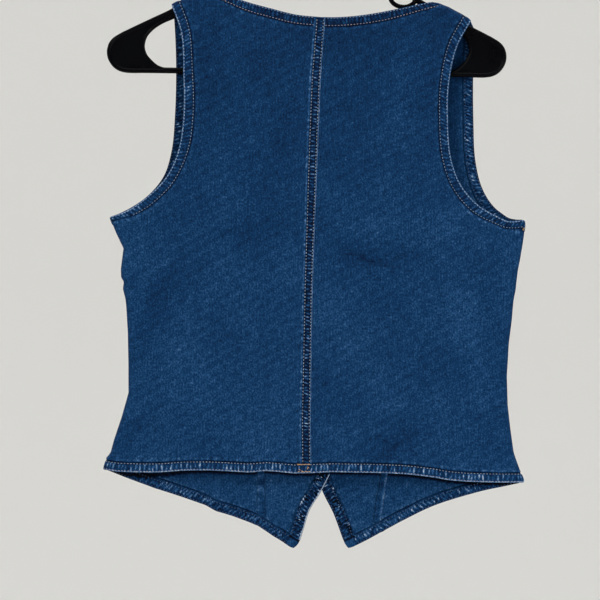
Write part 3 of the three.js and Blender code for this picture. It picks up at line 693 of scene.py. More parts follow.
def sewing_thread(name, light, dark):
    """Spun polyester topstitch thread: softly shining, slightly uneven in tone from washing."""
    material, tree, shader = new_material(name, Roughness=0.55, IOR=1.5, Sheen_Weight=0.1)
    place = add_node(tree, "ShaderNodeTexCoord").outputs["Object"]
    tone, ply = [
        add_node(
            tree, "ShaderNodeTexNoise", {"Vector": place, "Scale": per_metre(spots), "Detail": detail}
        ).outputs["Fac"]
        for spots, detail in ((14, 2.0), (0.9, 1.0))
    ]
    value = weighted_sum(tree, 0.5, [(tone, 0.5, 1.6), (ply, 0.5, 0.5)])
    bump = add_node(tree, "ShaderNodeBump", {"Height": ply, "Strength": 0.4, "Distance": 0.15 * MM})
    tree.links.new(colour_steps(tree, value, [(0.2, dark), (0.8, light)]), shader.inputs["Base Color"])
    tree.links.new(bump.outputs["Normal"], shader.inputs["Normal"])
    return material


def moulded_plastic():
    """Injection moulded polystyrene, near black: sharp gloss with faint flow marks and handling haze."""
    material, tree, shader = new_material("moulded black polystyrene", IOR=1.59, Specular_IOR_Level=0.03)
    place = add_node(tree, "ShaderNodeTexCoord").outputs["Object"]
    haze, grain = [
        add_node(
            tree, "ShaderNodeTexNoise", {"Vector": place, "Scale": per_metre(spots), "Detail": detail}
        ).outputs["Fac"]
        for spots, detail in ((35, 4.0), (1.6, 2.0))
    ]
    rough = add_node(
        tree, "ShaderNodeMapRange", {"Value": haze, "To Min": 0.12, "To Max": 0.22}
    ).outputs["Result"]
    bump = add_node(tree, "ShaderNodeBump", {"Height": grain, "Strength": 0.03, "Distance": 0.1 * MM})
    colour = colour_steps(tree, haze, [(0.3, "#020204"), (0.7, "#040508")])
    tree.links.new(colour, shader.inputs["Base Color"])
    tree.links.new(rough, shader.inputs["Roughness"])
    tree.links.new(bump.outputs["Normal"], shader.inputs["Normal"])
    return material


def aged_nickel():
    """Nickel plated brass, stamped and tumbled: soft grey gloss, duller and browner in patches."""
    material, tree, shader = new_material("tumbled nickel plate", Metallic=1.0)
    place = add_node(tree, "ShaderNodeTexCoord").outputs["Object"]
    patina, scuffs = [
        add_node(
            tree, "ShaderNodeTexNoise", {"Vector": place, "Scale": per_metre(spots), "Detail": detail}
        ).outputs["Fac"]
        for spots, detail in ((3.2, 3.0), (0.7, 2.0))
    ]
    rough = add_node(tree, "ShaderNodeMapRange", {"Value": patina, "To Min": 0.22, "To Max": 0.46})
    bump = add_node(tree, "ShaderNodeBump", {"Height": scuffs, "Strength": 0.12, "Distance": 0.1 * MM})
    colour = colour_steps(tree, patina, [(0.3, "#8d857a"), (0.65, "#b9b4aa")])
    tree.links.new(colour, shader.inputs["Base Color"])
    tree.links.new(rough.outputs["Result"], shader.inputs["Roughness"])
    tree.links.new(bump.outputs["Normal"], shader.inputs["Normal"])
    return material


DENIM = washed_denim()
THREAD_GREY = sewing_thread("faded topstitch thread", "#97a0ab", "#69727e")
THREAD_TAN = sewing_thread("faded tan topstitch thread", "#a19698", "#74727f")
THREAD_PALE = sewing_thread("indigo stained topstitch thread", "#9aa9bc", "#6b7d94")
THREAD_BLEACHED = sewing_thread("bleached topstitch thread", "#8293a8", "#586b82")
THREAD_BLUE = sewing_thread("blue bobbin thread", "#3b5879", "#1e3a5c")
THREAD_GOLD = sewing_thread("golden tack thread", "#cba478", "#977350")
PLASTIC = moulded_plastic()
NICKEL = aged_nickel()


def finish_piece(mesh, name, material, nodes=()):
    piece = bpy.data.objects.new(name, mesh)
    bpy.context.scene.collection.objects.link(piece)
    mesh.materials.clear()
    mesh.materials.append(material)
    mesh.polygons.foreach_set("use_smooth", [True] * len(mesh.polygons))
    if material is PLASTIC:
        mesh.set_sharp_from_angle(angle=math.radians(50))
    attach(piece, "root")
    if nodes:
        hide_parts(*nodes)
    return piece


def cloth_grid(bm, points, places, marks, outward):
    """Lays a grid of faces on the given points, with the flat cloth as its UV map in metres."""
    rows, columns = points.shape[:2]
    bmesh.ops.create_grid(bm, x_segments=columns - 1, y_segments=rows - 1, size=1.0)
    uv = bm.loops.layers.uv.new("cloth")
    layers = {name: bm.verts.layers.float.new(name) for name in marks}
    spot = {}
    for vert in bm.verts:
        c = round((vert.co.x + 1) / 2 * (columns - 1))
        r = round((vert.co.y + 1) / 2 * (rows - 1))
        spot[vert] = (places[r, c, 0] * MM, -places[r, c, 1] * MM)
        for name, layer in layers.items():
            vert[layer] = marks[name][r, c]
        vert.co = points[r, c] * MM
    for face in bm.faces:
        for loop in face.loops:
            loop[uv].uv = spot[loop.vert]
    bm.normal_update()
    lean = sum(face.normal.y * face.calc_area() for face in bm.faces)
    if outward and lean * outward < 0:
        bmesh.ops.reverse_faces(bm, faces=bm.faces)


def to_mesh(bm, name):
    mesh = bpy.data.meshes.new(name)
    bm.to_mesh(mesh)
    bm.free()
    return mesh


def flat_area(outline):
    x, y = outline[:, 0], outline[:, 1]
    return abs(np.dot(x, np.roll(y, 1)) - np.dot(y, np.roll(x, 1))) / 2


def evaluated_mesh(holder, name):
    """The finished mesh of an object that is made only to have its curve or modifier worked out."""
    bpy.context.scene.collection.objects.link(holder)
    bpy.context.view_layer.update()
    mesh = bpy.data.meshes.new_from_object(holder.evaluated_get(bpy.context.evaluated_depsgraph_get()))
    bpy.data.objects.remove(holder)
    mesh.name = name
    return mesh


def shell_mesh(sheet):
    """A panel's sheet with its thickness added inwards. Only its inner side gets the painted shadow below the
    back's hem.
    """
    holder = bpy.data.objects.new(sheet.name + "_sheet", sheet)
    wall = holder.modifiers.new("cloth thickness", "SOLIDIFY")
    wall.thickness = CLOTH * MM
    wall.offset = -1
    outer = len(sheet.vertices)
    shell = evaluated_mesh(holder, sheet.name)
    wear_and_shade, inside = (np.empty(len(shell.vertices), np.float32) for _ in range(2))
    shell.attributes["wear_and_shade"].data.foreach_get("value", wear_and_shade)
    shell.attributes["inside"].data.foreach_get("value", inside)
    wear_and_shade[outer:] += inside[outer:]
    shell.attributes["wear_and_shade"].data.foreach_set("value", wear_and_shade)
    shell.attributes.remove(shell.attributes["inside"])
    return shell


def make_panel(face, side):
    """One panel of the waistcoat as a thin shell, with its folds, seam dips, wear and painted shade."""
    places = panel_places(face, side)
    lift, wear_and_shade = seam_pull(face, side, places)
    points = lifted(face, side, places, lift)
    x, down = places[..., 0], places[..., 1]
    wear = CLOTH_WEAR[face] + WAIST_PALENESS * smoothstep(down, -20, 220)
    # Wear and painted shade for both sides, and the painted shadow below the back's hem for the inner side
    # only.
    marks = {"wear_and_shade": wear + wear_and_shade + fold_shade(face, x, down), "inside": hem_shade(face, places)}
    bm = bmesh.new()
    cloth_grid(bm, points, places, marks, -1 if face == "back" else 1)
    node = face + "_" + side
    piece = finish_piece(shell_mesh(to_mesh(bm, node)), face + "_cloth_" + side, DENIM, [node])
    rim = np.vstack([places[0], places[1:, -1], places[-1, -2::-1], places[-2:0:-1, 0]])
    size = (rim.max(0) - rim.min(0)) * MM
    return piece, size, flat_area(rim) * MM * MM


class Roping:
    """Slanting ridges across a turned band, where sewing and washing have drawn it up unevenly."""

    def __init__(self, seed, length, pitch, slant, wide=(0.6, 1.1)):
        draw = np.random.default_rng(seed)
        gaps = draw.uniform(*pitch, int(length / pitch[0]) + 4)
        self.centre = np.cumsum(gaps) - pitch[1]
        self.height = draw.uniform(0.4, 1.0, len(gaps))
        self.slant = slant + draw.uniform(-0.3, 0.3, len(gaps))
        self.wide = draw.uniform(*wide, len(gaps))
        self.shift = draw.uniform(-0.3, 0.3, len(gaps))

    def rise(self, run, share):
        """Height from 0 to 1 at a length along the band and a share of its width."""
        off = run[..., None] - self.centre - self.slant * (share[..., None] - 0.5) * 8
        bell = self.height * np.exp(-((off / self.wide) ** 2))
        fall = np.clip(1.15 - np.abs(share[..., None] - 0.5 - self.shift) * 1.6, 0, 1)
        return np.clip((bell * fall).sum(-1), 0, 1.2)


# The band's section from its inner side over the fold to the turned side. A place is a share of the
# way from the edge row to the inner edge, or under 0 a share of the way from the row to the fold.
# Then come height, pucker, wear, which is kept low as painted shade in the ditch at the inner edge and under
# the fold, and the share of the fold's own wear: 1 outside, 2 at the very edge, -1 on the turned side.
BAND_SECTION = [
    (1.02, -1.0, 0, 0.1, 0), (0.96, -0.6, 0, 0.2, 0), (0.91, -0.28, 0.1, 0.34, 0),
    (0.86, -0.14, 0.3, 0.36, 0), (0.78, 0.06, 0.8, 0.34, 0), (0.66, 0.26, 1, 0.34, 0),
    (0.52, 0.36, 1, 0.34, 0), (0.38, 0.38, 1, 0.34, 0), (0.24, 0.32, 1, 0.34, 0),
    (0.12, 0.18, 0.8, 0.34, 0.1), (0.0, 0.02, 0.3, 0.42, 0.5),
    (-0.7, 0.12, 0.1, 0.46, 1), (-0.4, -0.02, 0, 0.46, 1), (-0.12, -0.5, 0, 0.4, 0.7),
    (-0.0001, -1.3, 0, 0.2, 2), (-0.12, -2.1, 0, 0.22, -1), (-0.4, -2.6, 0, 0.3, -1),
    (0.0, -2.66, -0.2, 0.34, 0), (0.14, -2.9, -0.8, 0.34, 0), (0.3, -3.05, -1, 0.34, 0),
    (0.48, -3.1, -1, 0.34, 0), (0.66, -3.0, -1, 0.34, 0), (0.82, -2.78, -0.8, 0.34, 0),
    (0.94, -2.85, -0.3, 0.5, 0), (1.03, -2.6, 0, 0.4, 0), (1.05, -1.9, 0, 0.3, 0),
]

# The section's row at the fold and its height, and the rows that are sewn on either side.
FOLD_POINT = 14
FOLD_LEVEL = -1.3
OUTER_ROWS = (10, 3)
INNER_ROWS = (17, 22)
SEWN_ROWS = [
    ("edge", OUTER_ROWS[:1], 1, FINE_THREAD), ("inner", OUTER_ROWS[1:], 1, THREAD),
    ("turned", INNER_ROWS, -1, FINE_THREAD),
]


def band_directions(edge, inside):
    """For each station the way across the band, turned to lie along the seams at both ends."""
    line = edge["line"]
    way = np.pad(np.gradient(line, axis=0), ((4, 4), (0, 0)), mode="edge")
    way = np.stack([np.convolve(way[:, k], np.ones(9) / 9, "valid") for k in (0, 1)], -1)
    way /= np.linalg.norm(way, axis=1, keepdims=True)
    across = np.stack([-way[:, 1], way[:, 0]], -1)
    if np.dot(across[len(line) // 2], inside - line[len(line) // 2]) < 0:
        across = -across
    run = lengths_along(line)
    for end, at in ((edge["ends"][0], run), (edge["ends"][1], run[-1] - run)):
        square = across.copy()
        met = np.maximum(0.3, (square * end).sum(1))[:, None]
        weight = (1 - smoothstep(at, 0, 16))[:, None]
        across = square * (1 - weight) + (end / met) * weight
    return across


def stitch_places(run, margin=1.5):
    """The middle of each stitch along a row, and the stitch length that fits the row evenly."""
    start, stop = margin, run[-1] - margin
    count = max(1, int((stop - start) / STITCH["pitch"]))
    pitch = (stop - start) / count
    return start + (np.arange(count) + 0.5) * pitch, pitch


def stitch_row(face, side, line, lift, turn=1, margin=1.5):
    """A row of topstitches along a line of places, rising out of the cloth and sinking back in."""
    run = lengths_along(line)
    middles, _ = stitch_places(run, margin)
    half, rise, sink = STITCH["long"] / 2, STITCH["rise"], STITCH["sink"]
    steps = np.array([-half - 0.3, -half + 0.1, 0, half - 0.1, half + 0.3])
    heights = np.array([-sink, 0.5 * rise, rise, 0.5 * rise, -sink])
    at = (middles[:, None] + steps).ravel()
    places = np.stack([np.interp(at, run, line[:, k]) for k in (0, 1)], -1)
    rises = np.interp(at, run, lift) + turn * np.tile(heights, len(middles))
    return lifted(face, side, places, rises)


def sink_stitches(places, lift, wear_and_shade, index, dark, turn=1):
    """The cloth is drawn in where the thread of a row goes down between two stitches, and gets painted shade
    there.
    """
    run = lengths_along(places[:, index])
    middles, pitch = stitch_places(run)
    gaps = 0.5 - 0.5 * np.cos((run - middles[0]) * 2 * math.pi / pitch)
    for offset, weight in ((-1, 0.5), (0, 1), (1, 0.5)):
        wear_and_shade[:, index + offset] -= dark * weight * gaps
    lift[:, index] -= 0.12 * turn * gaps


def closed_band(name, points, flat, wear_and_shade, nodes):
    """A closed strip of cloth from its sections, one for each row of points."""
    ring = [*range(points.shape[1]), 0]
    bm = bmesh.new()
    cloth_grid(bm, points[:, ring], flat[:, ring], {"wear_and_shade": wear_and_shade[:, ring]}, 0)
    bmesh.ops.remove_doubles(bm, verts=bm.verts, dist=0.001 * MM)
    bmesh.ops.holes_fill(bm, edges=bm.edges, sides=0)
    bmesh.ops.triangulate(bm, faces=[face for face in bm.faces if len(face.verts) > 4])
    bmesh.ops.recalc_face_normals(bm, faces=bm.faces)
    return finish_piece(to_mesh(bm, name), name, DENIM, nodes)


def make_band(name, face, edge_name, seed, nodes, look):
    """A turned and topstitched edge: a folded band that wraps the panel's edge, and its threads."""
    side = "left" if edge_name.endswith("left") else "right"
    edge = EDGES[edge_name]
    line = edge["line"]
    middle = np.array([FRONT_CENTRE, 200.0])
    if "armhole" not in edge_name and face == "front":
        middle = np.array([-90.0 if side == "left" else 150.0, 300.0])
    across = band_directions(edge, middle)
    run = lengths_along(line)
    rope = Roping(seed, run[-1], look["pitch"], look["slant"])
    share, height, pucker, wear, worn = np.array(BAND_SECTION, float).T
    wide, row = edge["width"][:, None], look["row"]
    far = np.where(share < 0, -share * row, row + share * (wide - row))
    runs = np.broadcast_to(run[:, None], far.shape)
    ridge = rope.rise(runs, np.clip(far / wide, 0, 1))
    lift = height + 0.5 * pucker * ridge + 0.12 * pucker * uneven_wave(runs, 23.0, seed)
    if "over" in look:
        lift = lift + look["over"](line)[:, None] * np.where(height > -1.5, 1, 0.2)
    knot = look.get("knot", 0) * np.exp(-((run[:, None] - 4.5) / 5.0) ** 2)
    lift = lift + 0.35 * knot * np.sign(height - FOLD_LEVEL)
    places = line[:, None] + across[:, None] * (far - knot)[..., None]
    ends = np.minimum(run, run[-1] - run)[:, None]
    lift = np.where(height < -1.2, height + (lift - height) * smoothstep(ends, 0, 8), lift)
    fold_wear = np.select([worn < 0, worn > 1], [-worn * look["under"], look["tip"]], worn * look["fold"])
    mottle = 0.9 + 0.18 * uneven_wave(runs, 5.7, seed + 0.4)
    ridge_wear = np.abs(pucker) * (look["base"] - 0.1 + look["rope"] * ridge)
    patches = uneven_wave(runs + 1.3 * far, 4.3, seed) * uneven_wave(1.9 * far - 0.7 * runs, 5.2, seed + 1.0)
    turned = np.arange(len(share)) > FOLD_POINT
    # A front band's turned side gets the painted shadow below the back's hem.
    wear_and_shade = wear + fold_wear * mottle + ridge_wear + hem_shade(face, places) * turned
    wear_and_shade += np.where(pucker < 0, look["patches"] * patches, 0)
    for index in (*OUTER_ROWS, *INNER_ROWS):
        sink_stitches(places, lift, wear_and_shade, index, 0.12, np.sign(height[index] - FOLD_LEVEL))
    points = lifted(face, side, places, lift)
    flat = np.where(turned[None, :, None], line[:, None] - across[:, None] * far[..., None], places)
    pieces = [closed_band(name, points, flat, wear_and_shade, nodes)]
    for part, indexes, turn, radius in SEWN_ROWS:
        first = look.get("row_start", 0) if part == "inner" else 0
        rows = [stitch_row(face, side, places[first:, i], lift[first:, i], turn) for i in indexes]
        row_name = name.replace("band", part + "_stitches")
        pieces.append(thread_piece(row_name, rows, look["threads"][part], radius))
    return pieces


def tube_mesh(name, paths, radius, resolution):
    """Round tubes along paths in millimetres, as one mesh."""
    curve = bpy.data.curves.new(name, "CURVE")
    curve.dimensions = "3D"
    curve.bevel_depth = radius * MM
    curve.bevel_resolution = resolution
    curve.use_fill_caps = True
    for path in paths:
        spline = curve.splines.new("POLY")
        spline.points.add(len(path) - 1)
        points = np.hstack([np.asarray(path) * MM, np.ones((len(path), 1))])
        spline.points.foreach_set("co", points.ravel())
    return evaluated_mesh(bpy.data.objects.new(name + "_curve", curve), name)


def thread_piece(name, paths, material, radius=THREAD):
    return finish_piece(tube_mesh(name, paths, radius, 1), name, material)


def over_centre_seam(line):
    """The hem and neck bands rise where they cross the thick centre back seam."""
    off = line[:, 0] - look_up(CENTRE_BACK, line[:, 1])
    return 0.75 * smoothstep(off, -8.5, -5.5) * (1 - smoothstep(off, 4.6, 7.6))


# Section of the felled centre seam: offset from the seam line, height, pucker, wear, which is lowest as
# painted shade in the ditch along one edge.
SEAM_SECTION = [
    (-7.8, -0.5, 0, 0.36), (-6.7, 0.05, 0.1, 0.48), (-5.6, 0.22, 0.2, 0.62), (-4.6, 0.28, 0.2, 0.56),
    (-3.3, 0.26, 0.1, 0.3), (-2.4, 0.6, 0.8, 0.24), (-1.3, 0.85, 1, 0.22), (0.0, 0.92, 1, 0.22),
    (1.3, 0.88, 1, 0.22), (2.5, 0.74, 0.8, 0.24), (3.5, 0.6, 0.1, 0.32), (4.3, 0.72, 0.1, 0.6),
    (4.8, 0.6, 0.1, 0.84), (5.3, 0.1, 0, 0.3), (5.7, -1.1, 0, 0.0), (-5.4, -1.1, 0, 0.3),
]
SEAM_ROWS = (4, 10)
SEAM_RIDGE = (1, 4)


def make_centre_seam():
    """The felled seam down the back: a raised strip between two stitch rows, roped by washing."""
    top, bottom = CENTRE_BACK[0][0] + 0.6, CENTRE_BACK[-1][0] - HEM_BAND + 0.6
    down = np.arange(top, bottom, STATION / 2)
    centre = np.stack([look_up(CENTRE_BACK, down), down], -1)
    run = down - top
    off, height, pucker, wear = np.array(SEAM_SECTION, float).T
    rope = Roping(5, run[-1], (2.6, 5.0), 0.1, (0.5, 0.95))
    runs = np.broadcast_to(run[:, None], (len(run), len(off)))
    ridge = rope.rise(runs, np.broadcast_to(np.clip((off + 2.9) / 6.8, 0, 1), runs.shape))
    squeeze = 1 + 0.06 * np.sin(run / 61.0)[:, None]
    places = centre[:, None] + np.stack([off * squeeze, np.zeros_like(runs)], -1)
    near_top = 1 - smoothstep(down, top + HEM_BAND - 1, top + HEM_BAND + 3)
    lift = height + 0.42 * pucker * ridge + 0.35 * near_top[:, None] * (height > -0.3)
    wear_and_shade = wear + pucker * 0.8 * ridge
    wear_and_shade[:, slice(*SEAM_RIDGE)] += 0.12 * uneven_wave(run, 8.3, 2.0)[:, None]
    for index in SEAM_ROWS:
        sink_stitches(places, lift, wear_and_shade, index, 0.2)
    points = lifted("back", "right", places, lift)
    seam = closed_band("back_centre_seam_felled", points, places, wear_and_shade, ["back_centre_seam"])
    rows = [stitch_row("back", "right", places[:, i], lift[:, i]) for i in SEAM_ROWS]
    return seam, thread_piece("back_centre_seam_stitches", rows, THREAD_GREY)


def spin_profile(profile, steps=48):
    """A turned shape from (radius, height) points, about its own upright axis."""
    bm = bmesh.new()
    verts = [bm.verts.new((r * MM, 0, h * MM)) for r, h in profile]
    geom = verts + [bm.edges.new(pair) for pair in zip(verts, verts[1:])]
    turn = 2 * math.pi
    bmesh.ops.spin(bm, geom=geom, cent=(0, 0, 0), axis=(0, 0, 1), angle=turn, steps=steps, use_merge=True)
    bmesh.ops.remove_doubles(bm, verts=bm.verts, dist=0.002 * MM)
    bmesh.ops.recalc_face_normals(bm, faces=bm.faces)
    return bm


# Half of a button's section, from the middle of its back to the middle of its face: radius, height.
BUTTON_PROFILE = [
    (0, 0), (5.6, 0), (6.9, 0.25), (8.1, 0.95), (8.5, 1.6), (8.42, 2.1), (8.0, 2.6), (7.3, 2.85), (6.7, 2.8),
    (6.35, 2.5), (6.1, 2.45), (5.7, 2.7), (4.9, 3.05), (3.6, 3.3), (2.2, 3.38), (1.5, 3.34), (1.15, 3.1),
    (0.7, 3.0), (0, 2.98),
]


def make_buttons():
    """Domed metal buttons with a rolled rim, and the stitched holes they are fastened through."""
    buttons, paths = [], []
    for i in range(BUTTON["count"]):
        down = BUTTON["first"] + i * BUTTON["pitch"]
        place = np.array([FRONT_CENTRE, down])
        seat, above = lifted("front", "right", np.array([place, place]), np.array([0.42, 1.42]))
        turn = Vector(above - seat).to_track_quat("Z", "Y").to_matrix()
        bm = spin_profile(BUTTON_PROFILE)
        bmesh.ops.rotate(bm, verts=bm.verts, cent=(0, 0, 0), matrix=turn)
        bmesh.ops.translate(bm, verts=bm.verts, vec=Vector(seat) * MM)
        name = f"button_{i + 1}"
        buttons.append(finish_piece(to_mesh(bm, name), name + "_cap", NICKEL, [name]))
        hole = place + (BUTTONHOLE["shift"], 0)
        oval = np.array([BUTTONHOLE["half_long"], BUTTONHOLE["half_wide"]])
        for angle in np.linspace(0, 2 * math.pi, BUTTONHOLE["stitches"], endpoint=False):
            out = np.array([math.cos(angle), math.sin(angle)])
            reach = out * (0.9, 1.7)
            foot = hole + oval * out
            ends = np.array([foot - reach * 0.1, foot + reach * 0.5, foot + reach])
            paths.append(lifted("front", "right", ends, np.array([0.1, 0.62, 0.15])))
    return buttons, thread_piece("buttonhole_stitches", paths, THREAD_GREY, radius=0.26)


# Section of a dart's spare cloth: share of its width, height, wear.
DART_SECTION = [
    (0.0, -1.1, 0.55), (0.09, -1.6, 0.55), (0.4, -1.65, 0.48), (0.85, -1.5, 0.48),
    (1.0, -1.25, 0.5), (0.9, -1.0, 0.4), (0.5, -0.95, 0.4), (0.1, -0.9, 0.4),
]
DART_LINE_WEAR = {"left": 0.55, "right": 0.7}


def make_dart(side):
    """The dart's spare cloth, pressed flat on the inside of a front."""
    way = 1 if side == "right" else -1
    hem = EDGES["front_hem_" + side]["line"]
    bottom = np.interp(way * dart_x(side, 500.0), way * hem[:, 0], hem[:, 1])
    down = np.arange(DART["top"], bottom - HEM_BAND + 1, 2.5)[:, None]
    length_share = (down - DART["top"]) / (down[-1] - DART["top"])
    wide = DART["wide_at_top"] + (DART["wide_at_hem"] - DART["wide_at_top"]) * length_share
    across, height, wear = np.array(DART_SECTION).T
    wear = np.where(across < 0.1, DART_LINE_WEAR[side], wear)
    ripple = uneven_wave(down, 11.0, 1.3) * 0.12
    x = dart_x(side, down) - way * across * wide
    places = np.stack([x, np.broadcast_to(down, x.shape)], -1)
    points = lifted("front", side, places, height + ripple * (height < -1.5))
    return closed_band("dart_fold_" + side, points, places, wear + ripple * 0.8, ["dart_" + side])


# Hanger: outlines are of its right arm, each row with x and the height over the tips.
BAR_RADIUS = 3.75
BAR_SLOPE = 0.5
LOWER_BAR = {"radius": 3.2, "down": 22.5, "reach": 157.0}
HOOK = {"radius": 3.25, "bend": 20.0, "start": -70, "end": 205}
HUB = {"joint": 12.5, "top": -65.0}
RIB = 2.7
INNER_RIB = 2.1
WEB = 1.7
ARM_DEPTH = 6.2
HANGER_TILT = math.radians(1.04)
HANGER_RAISE = 1.0

# The upper line of an arm, then the nose and underside of its broad end.
BAR_TOP = [(0, 112), (60, 86.1), (88, 76.2), (103, 66.9), (116, 58), (145, 41.5), (175, 27)]
END_OUTLINE = [
    (175, 27), (187.4, 20.9), (196.5, 16.2), (204.4, 11), (208.4, 5.8), (210.3, 0), (210.6, -4.7),
    (209.7, -10), (207.4, -15), (203, -20.4), (197, -24),
]

# The underside of an arm, round the open end and into the lower bar.
END_OPENING = [
    (112, 53.6), (124, 43.5), (133, 36.8), (140.7, 31.8), (150.1, 27.6), (157.3, 23.4), (163.4, 18.4),
    (168, 12.6), (170, 6.7), (170.4, 1.5), (168, -5.8), (162.6, -12.1), (157.2, -16.6), (152, -18.8),
    (148, -19.4),
]

# The bent rod over each arm that keeps a strap from slipping off.
STRAP_HOOK = [
    (86.5, 71), (86.8, 64), (87.5, 56.3), (89.8, 52.2), (95.1, 48.7), (104.6, 47.9), (111.3, 51.3),
    (113.9, 54.6),
]
STRAP_HOOK_RADIUS = 2.5


def bar_centre(x):
    return np.array([x, look_up(BAR_TOP, x) - BAR_RADIUS * math.hypot(1, BAR_SLOPE)])


def inset(line, by):
    """A line moved by a distance to its left, smoothly."""
    way = np.gradient(line, axis=0)
    way /= np.linalg.norm(way, axis=1, keepdims=True)
    return line + np.stack([-way[:, 1], way[:, 0]], -1) * by


def web_mesh(bm, outline, half, way):
    """A flat web between the hanger's tubes, from its outline in X and Z."""
    low = [bm.verts.new((x * way * MM, -half * MM, (TIP_LEVEL + up) * MM)) for x, up in outline]
    face = bm.faces.new(low)
    made = bmesh.ops.extrude_face_region(bm, geom=[face])
    top = [v for v in made["geom"] if isinstance(v, bmesh.types.BMVert)]
    bmesh.ops.translate(bm, verts=top, vec=(0, 2 * half * MM, 0))


def in_space(line, way):
    return np.stack([line[:, 0] * way, np.zeros(len(line)), TIP_LEVEL + line[:, 1]], -1)


def make_hanger_side(side, way):
    """One arm of the hanger: two ribs with a thin web between them, round the broad open end."""
    foot = -LOWER_BAR["down"] - LOWER_BAR["radius"]
    shoulder = [(x, look_up(BAR_TOP, x)) for x in np.linspace(HUB["joint"] - 4, 160, 12)]
    outline = smooth_line(shoulder + END_OUTLINE + [(x, foot) for x in (189, 170, 150)], 8)
    underside = [(x, look_up(BAR_TOP, x) - ARM_DEPTH) for x in (12, 50, 85)]
    outer = inset(outline, -RIB)
    inner = inset(smooth_line(underside + END_OPENING, 8), INNER_RIB)
    bm = bmesh.new()
    for line, radius in ((outer, RIB), (inner, INNER_RIB)):
        mesh = tube_mesh("rib", [in_space(line, way)], radius, 3)
        bm.from_mesh(mesh)
        bpy.data.meshes.remove(mesh)
    web_mesh(bm, np.vstack([outer, inner[::-1]])[::2], WEB, way)
    bmesh.ops.remove_doubles(bm, verts=bm.verts, dist=0.001 * MM)
    bmesh.ops.recalc_face_normals(bm, faces=bm.faces)
    tilt_hanger(bm)
    name = "hanger_arm_" + side
    nodes = ["hanger_bar_" + side, "hanger_end_" + side]
    finish_piece(to_mesh(bm, name), name, PLASTIC, nodes)


def tilt_hanger(bm):
    """The arms hang a little less tilted than the garment does."""
    turn = Matrix.Rotation(-HANGER_TILT, 3, "Y")
    bmesh.ops.rotate(bm, verts=bm.verts, cent=(0, 0, (TIP_LEVEL - 15) * MM), matrix=turn)
    bmesh.ops.translate(bm, verts=bm.verts, vec=(0, 0, HANGER_RAISE * MM))


def make_rod(name, line, way, radius, nodes):
    bm = bmesh.new()
    mesh = tube_mesh(name, [in_space(line, way)], radius, 3)
    bm.from_mesh(mesh)
    bpy.data.meshes.remove(mesh)
    tilt_hanger(bm)
    finish_piece(to_mesh(bm, name), name, PLASTIC, nodes)


def make_hook():
    """The round hook on its short stem."""
    angles = np.radians(np.linspace(HOOK["start"], HOOK["end"], 40))[::3]
    loop = HOOK["bend"] + HOOK["radius"]
    bow = [(loop * math.cos(a), 0, -HOOK["bend"] + loop * math.sin(a)) for a in angles]
    path = smooth_line([(0, 0, HUB["top"] - 6), (0, 0, HUB["top"] + 6), *bow], 8)
    mesh = tube_mesh("hanger_hook_rod", [path], HOOK["radius"], 3)
    finish_piece(mesh, "hanger_hook_rod", PLASTIC, ["hanger_hook"])


def make_hub():
    """The moulded joint at the middle: a short collar round the stem over a rounded web."""
    profile = [(0, -12), (6.4, -12), (6.6, -9), (5.2, -3), (4.7, 2.6), (4.3, 3.4), (3.3, 3.7), (0, 3.7)]
    bm = spin_profile(profile, 32)
    bmesh.ops.translate(bm, verts=bm.verts, vec=(0, 0, HUB["top"] * MM))
    end_x, end_up = bar_centre(HUB["joint"] + 4)
    top = HUB["top"] - TIP_LEVEL
    outline = [
        (-end_x, end_up), (0, bar_centre(0)[1] - BAR_RADIUS - 1.5), (end_x, end_up),
        (7.0, top - 5), (4.6, top + 1), (-4.6, top + 1), (-7.0, top - 5),
    ]
    web_mesh(bm, outline, 2.6, 1)
    bmesh.ops.recalc_face_normals(bm, faces=bm.faces)
    finish_piece(to_mesh(bm, "hub"), "hanger_hub_joint", PLASTIC, ["hanger_hub"])


def make_hanger():
    hook = smooth_line(STRAP_HOOK, 8)
    for side, way in (("left", -1), ("right", 1)):
        make_hanger_side(side, way)
        name = "hanger_strap_hook_" + side
        make_rod(name + "_rod", hook, way, STRAP_HOOK_RADIUS, [name])
    reach = LOWER_BAR["reach"] - 6
    line = np.array([(x, -LOWER_BAR["down"]) for x in np.linspace(-reach, reach, 9)])
    make_rod("hanger_lower_bar_tube", line, 1, LOWER_BAR["radius"], ["hanger_lower_bar"])
    make_hub()
    make_hook()


# Golden back-stitches over the centre seam at the hem: from x, down to x, down, and height.
HEM_TACK = [
    ((2.0, 433.4), (18.0, 433.6), 1.05), ((3.2, 434.1), (17.0, 432.9), 1.3),
    ((3.0, 441.1), (16.5, 441.3), 1.0), ((6.5, 440.4), (18.6, 440.9), 1.3),
    ((3.4, 437.4), (8.6, 440.6), 1.5), ((12.8, 434.6), (17.4, 438.6), 1.5),
    ((15.2, 435.0), (13.6, 440.4), 1.45),
]

# The tack at the right underarm: where it starts and stops along the edge, and how far in it lies.
SIDE_TACK = {"from": 0.6, "to": 5.0, "far": 7.2}


def make_tacks():
    """Golden thread where rows of stitching were begun and ended: mid hem and the right underarm."""
    rows = []
    for start, stop, height in HEM_TACK:
        line = evenly(np.array([start, stop]), STATION)
        rows.append(stitch_row("back", "right", line, np.full(len(line), height), margin=0.2))
    edge = EDGES["back_armhole_right"]
    across = band_directions(edge, np.array([FRONT_CENTRE, 200.0]))
    run = lengths_along(edge["line"])
    part = (run > SIDE_TACK["from"]) & (run < SIDE_TACK["to"])
    for shift in (0.0, 0.9):
        line = (edge["line"] + across * (SIDE_TACK["far"] - shift))[part]
        rows.append(stitch_row("back", "right", line, np.full(len(line), 0.25 + shift * 0.2), margin=0.2))
    return thread_piece("golden_tack_stitches", rows, THREAD_GOLD)


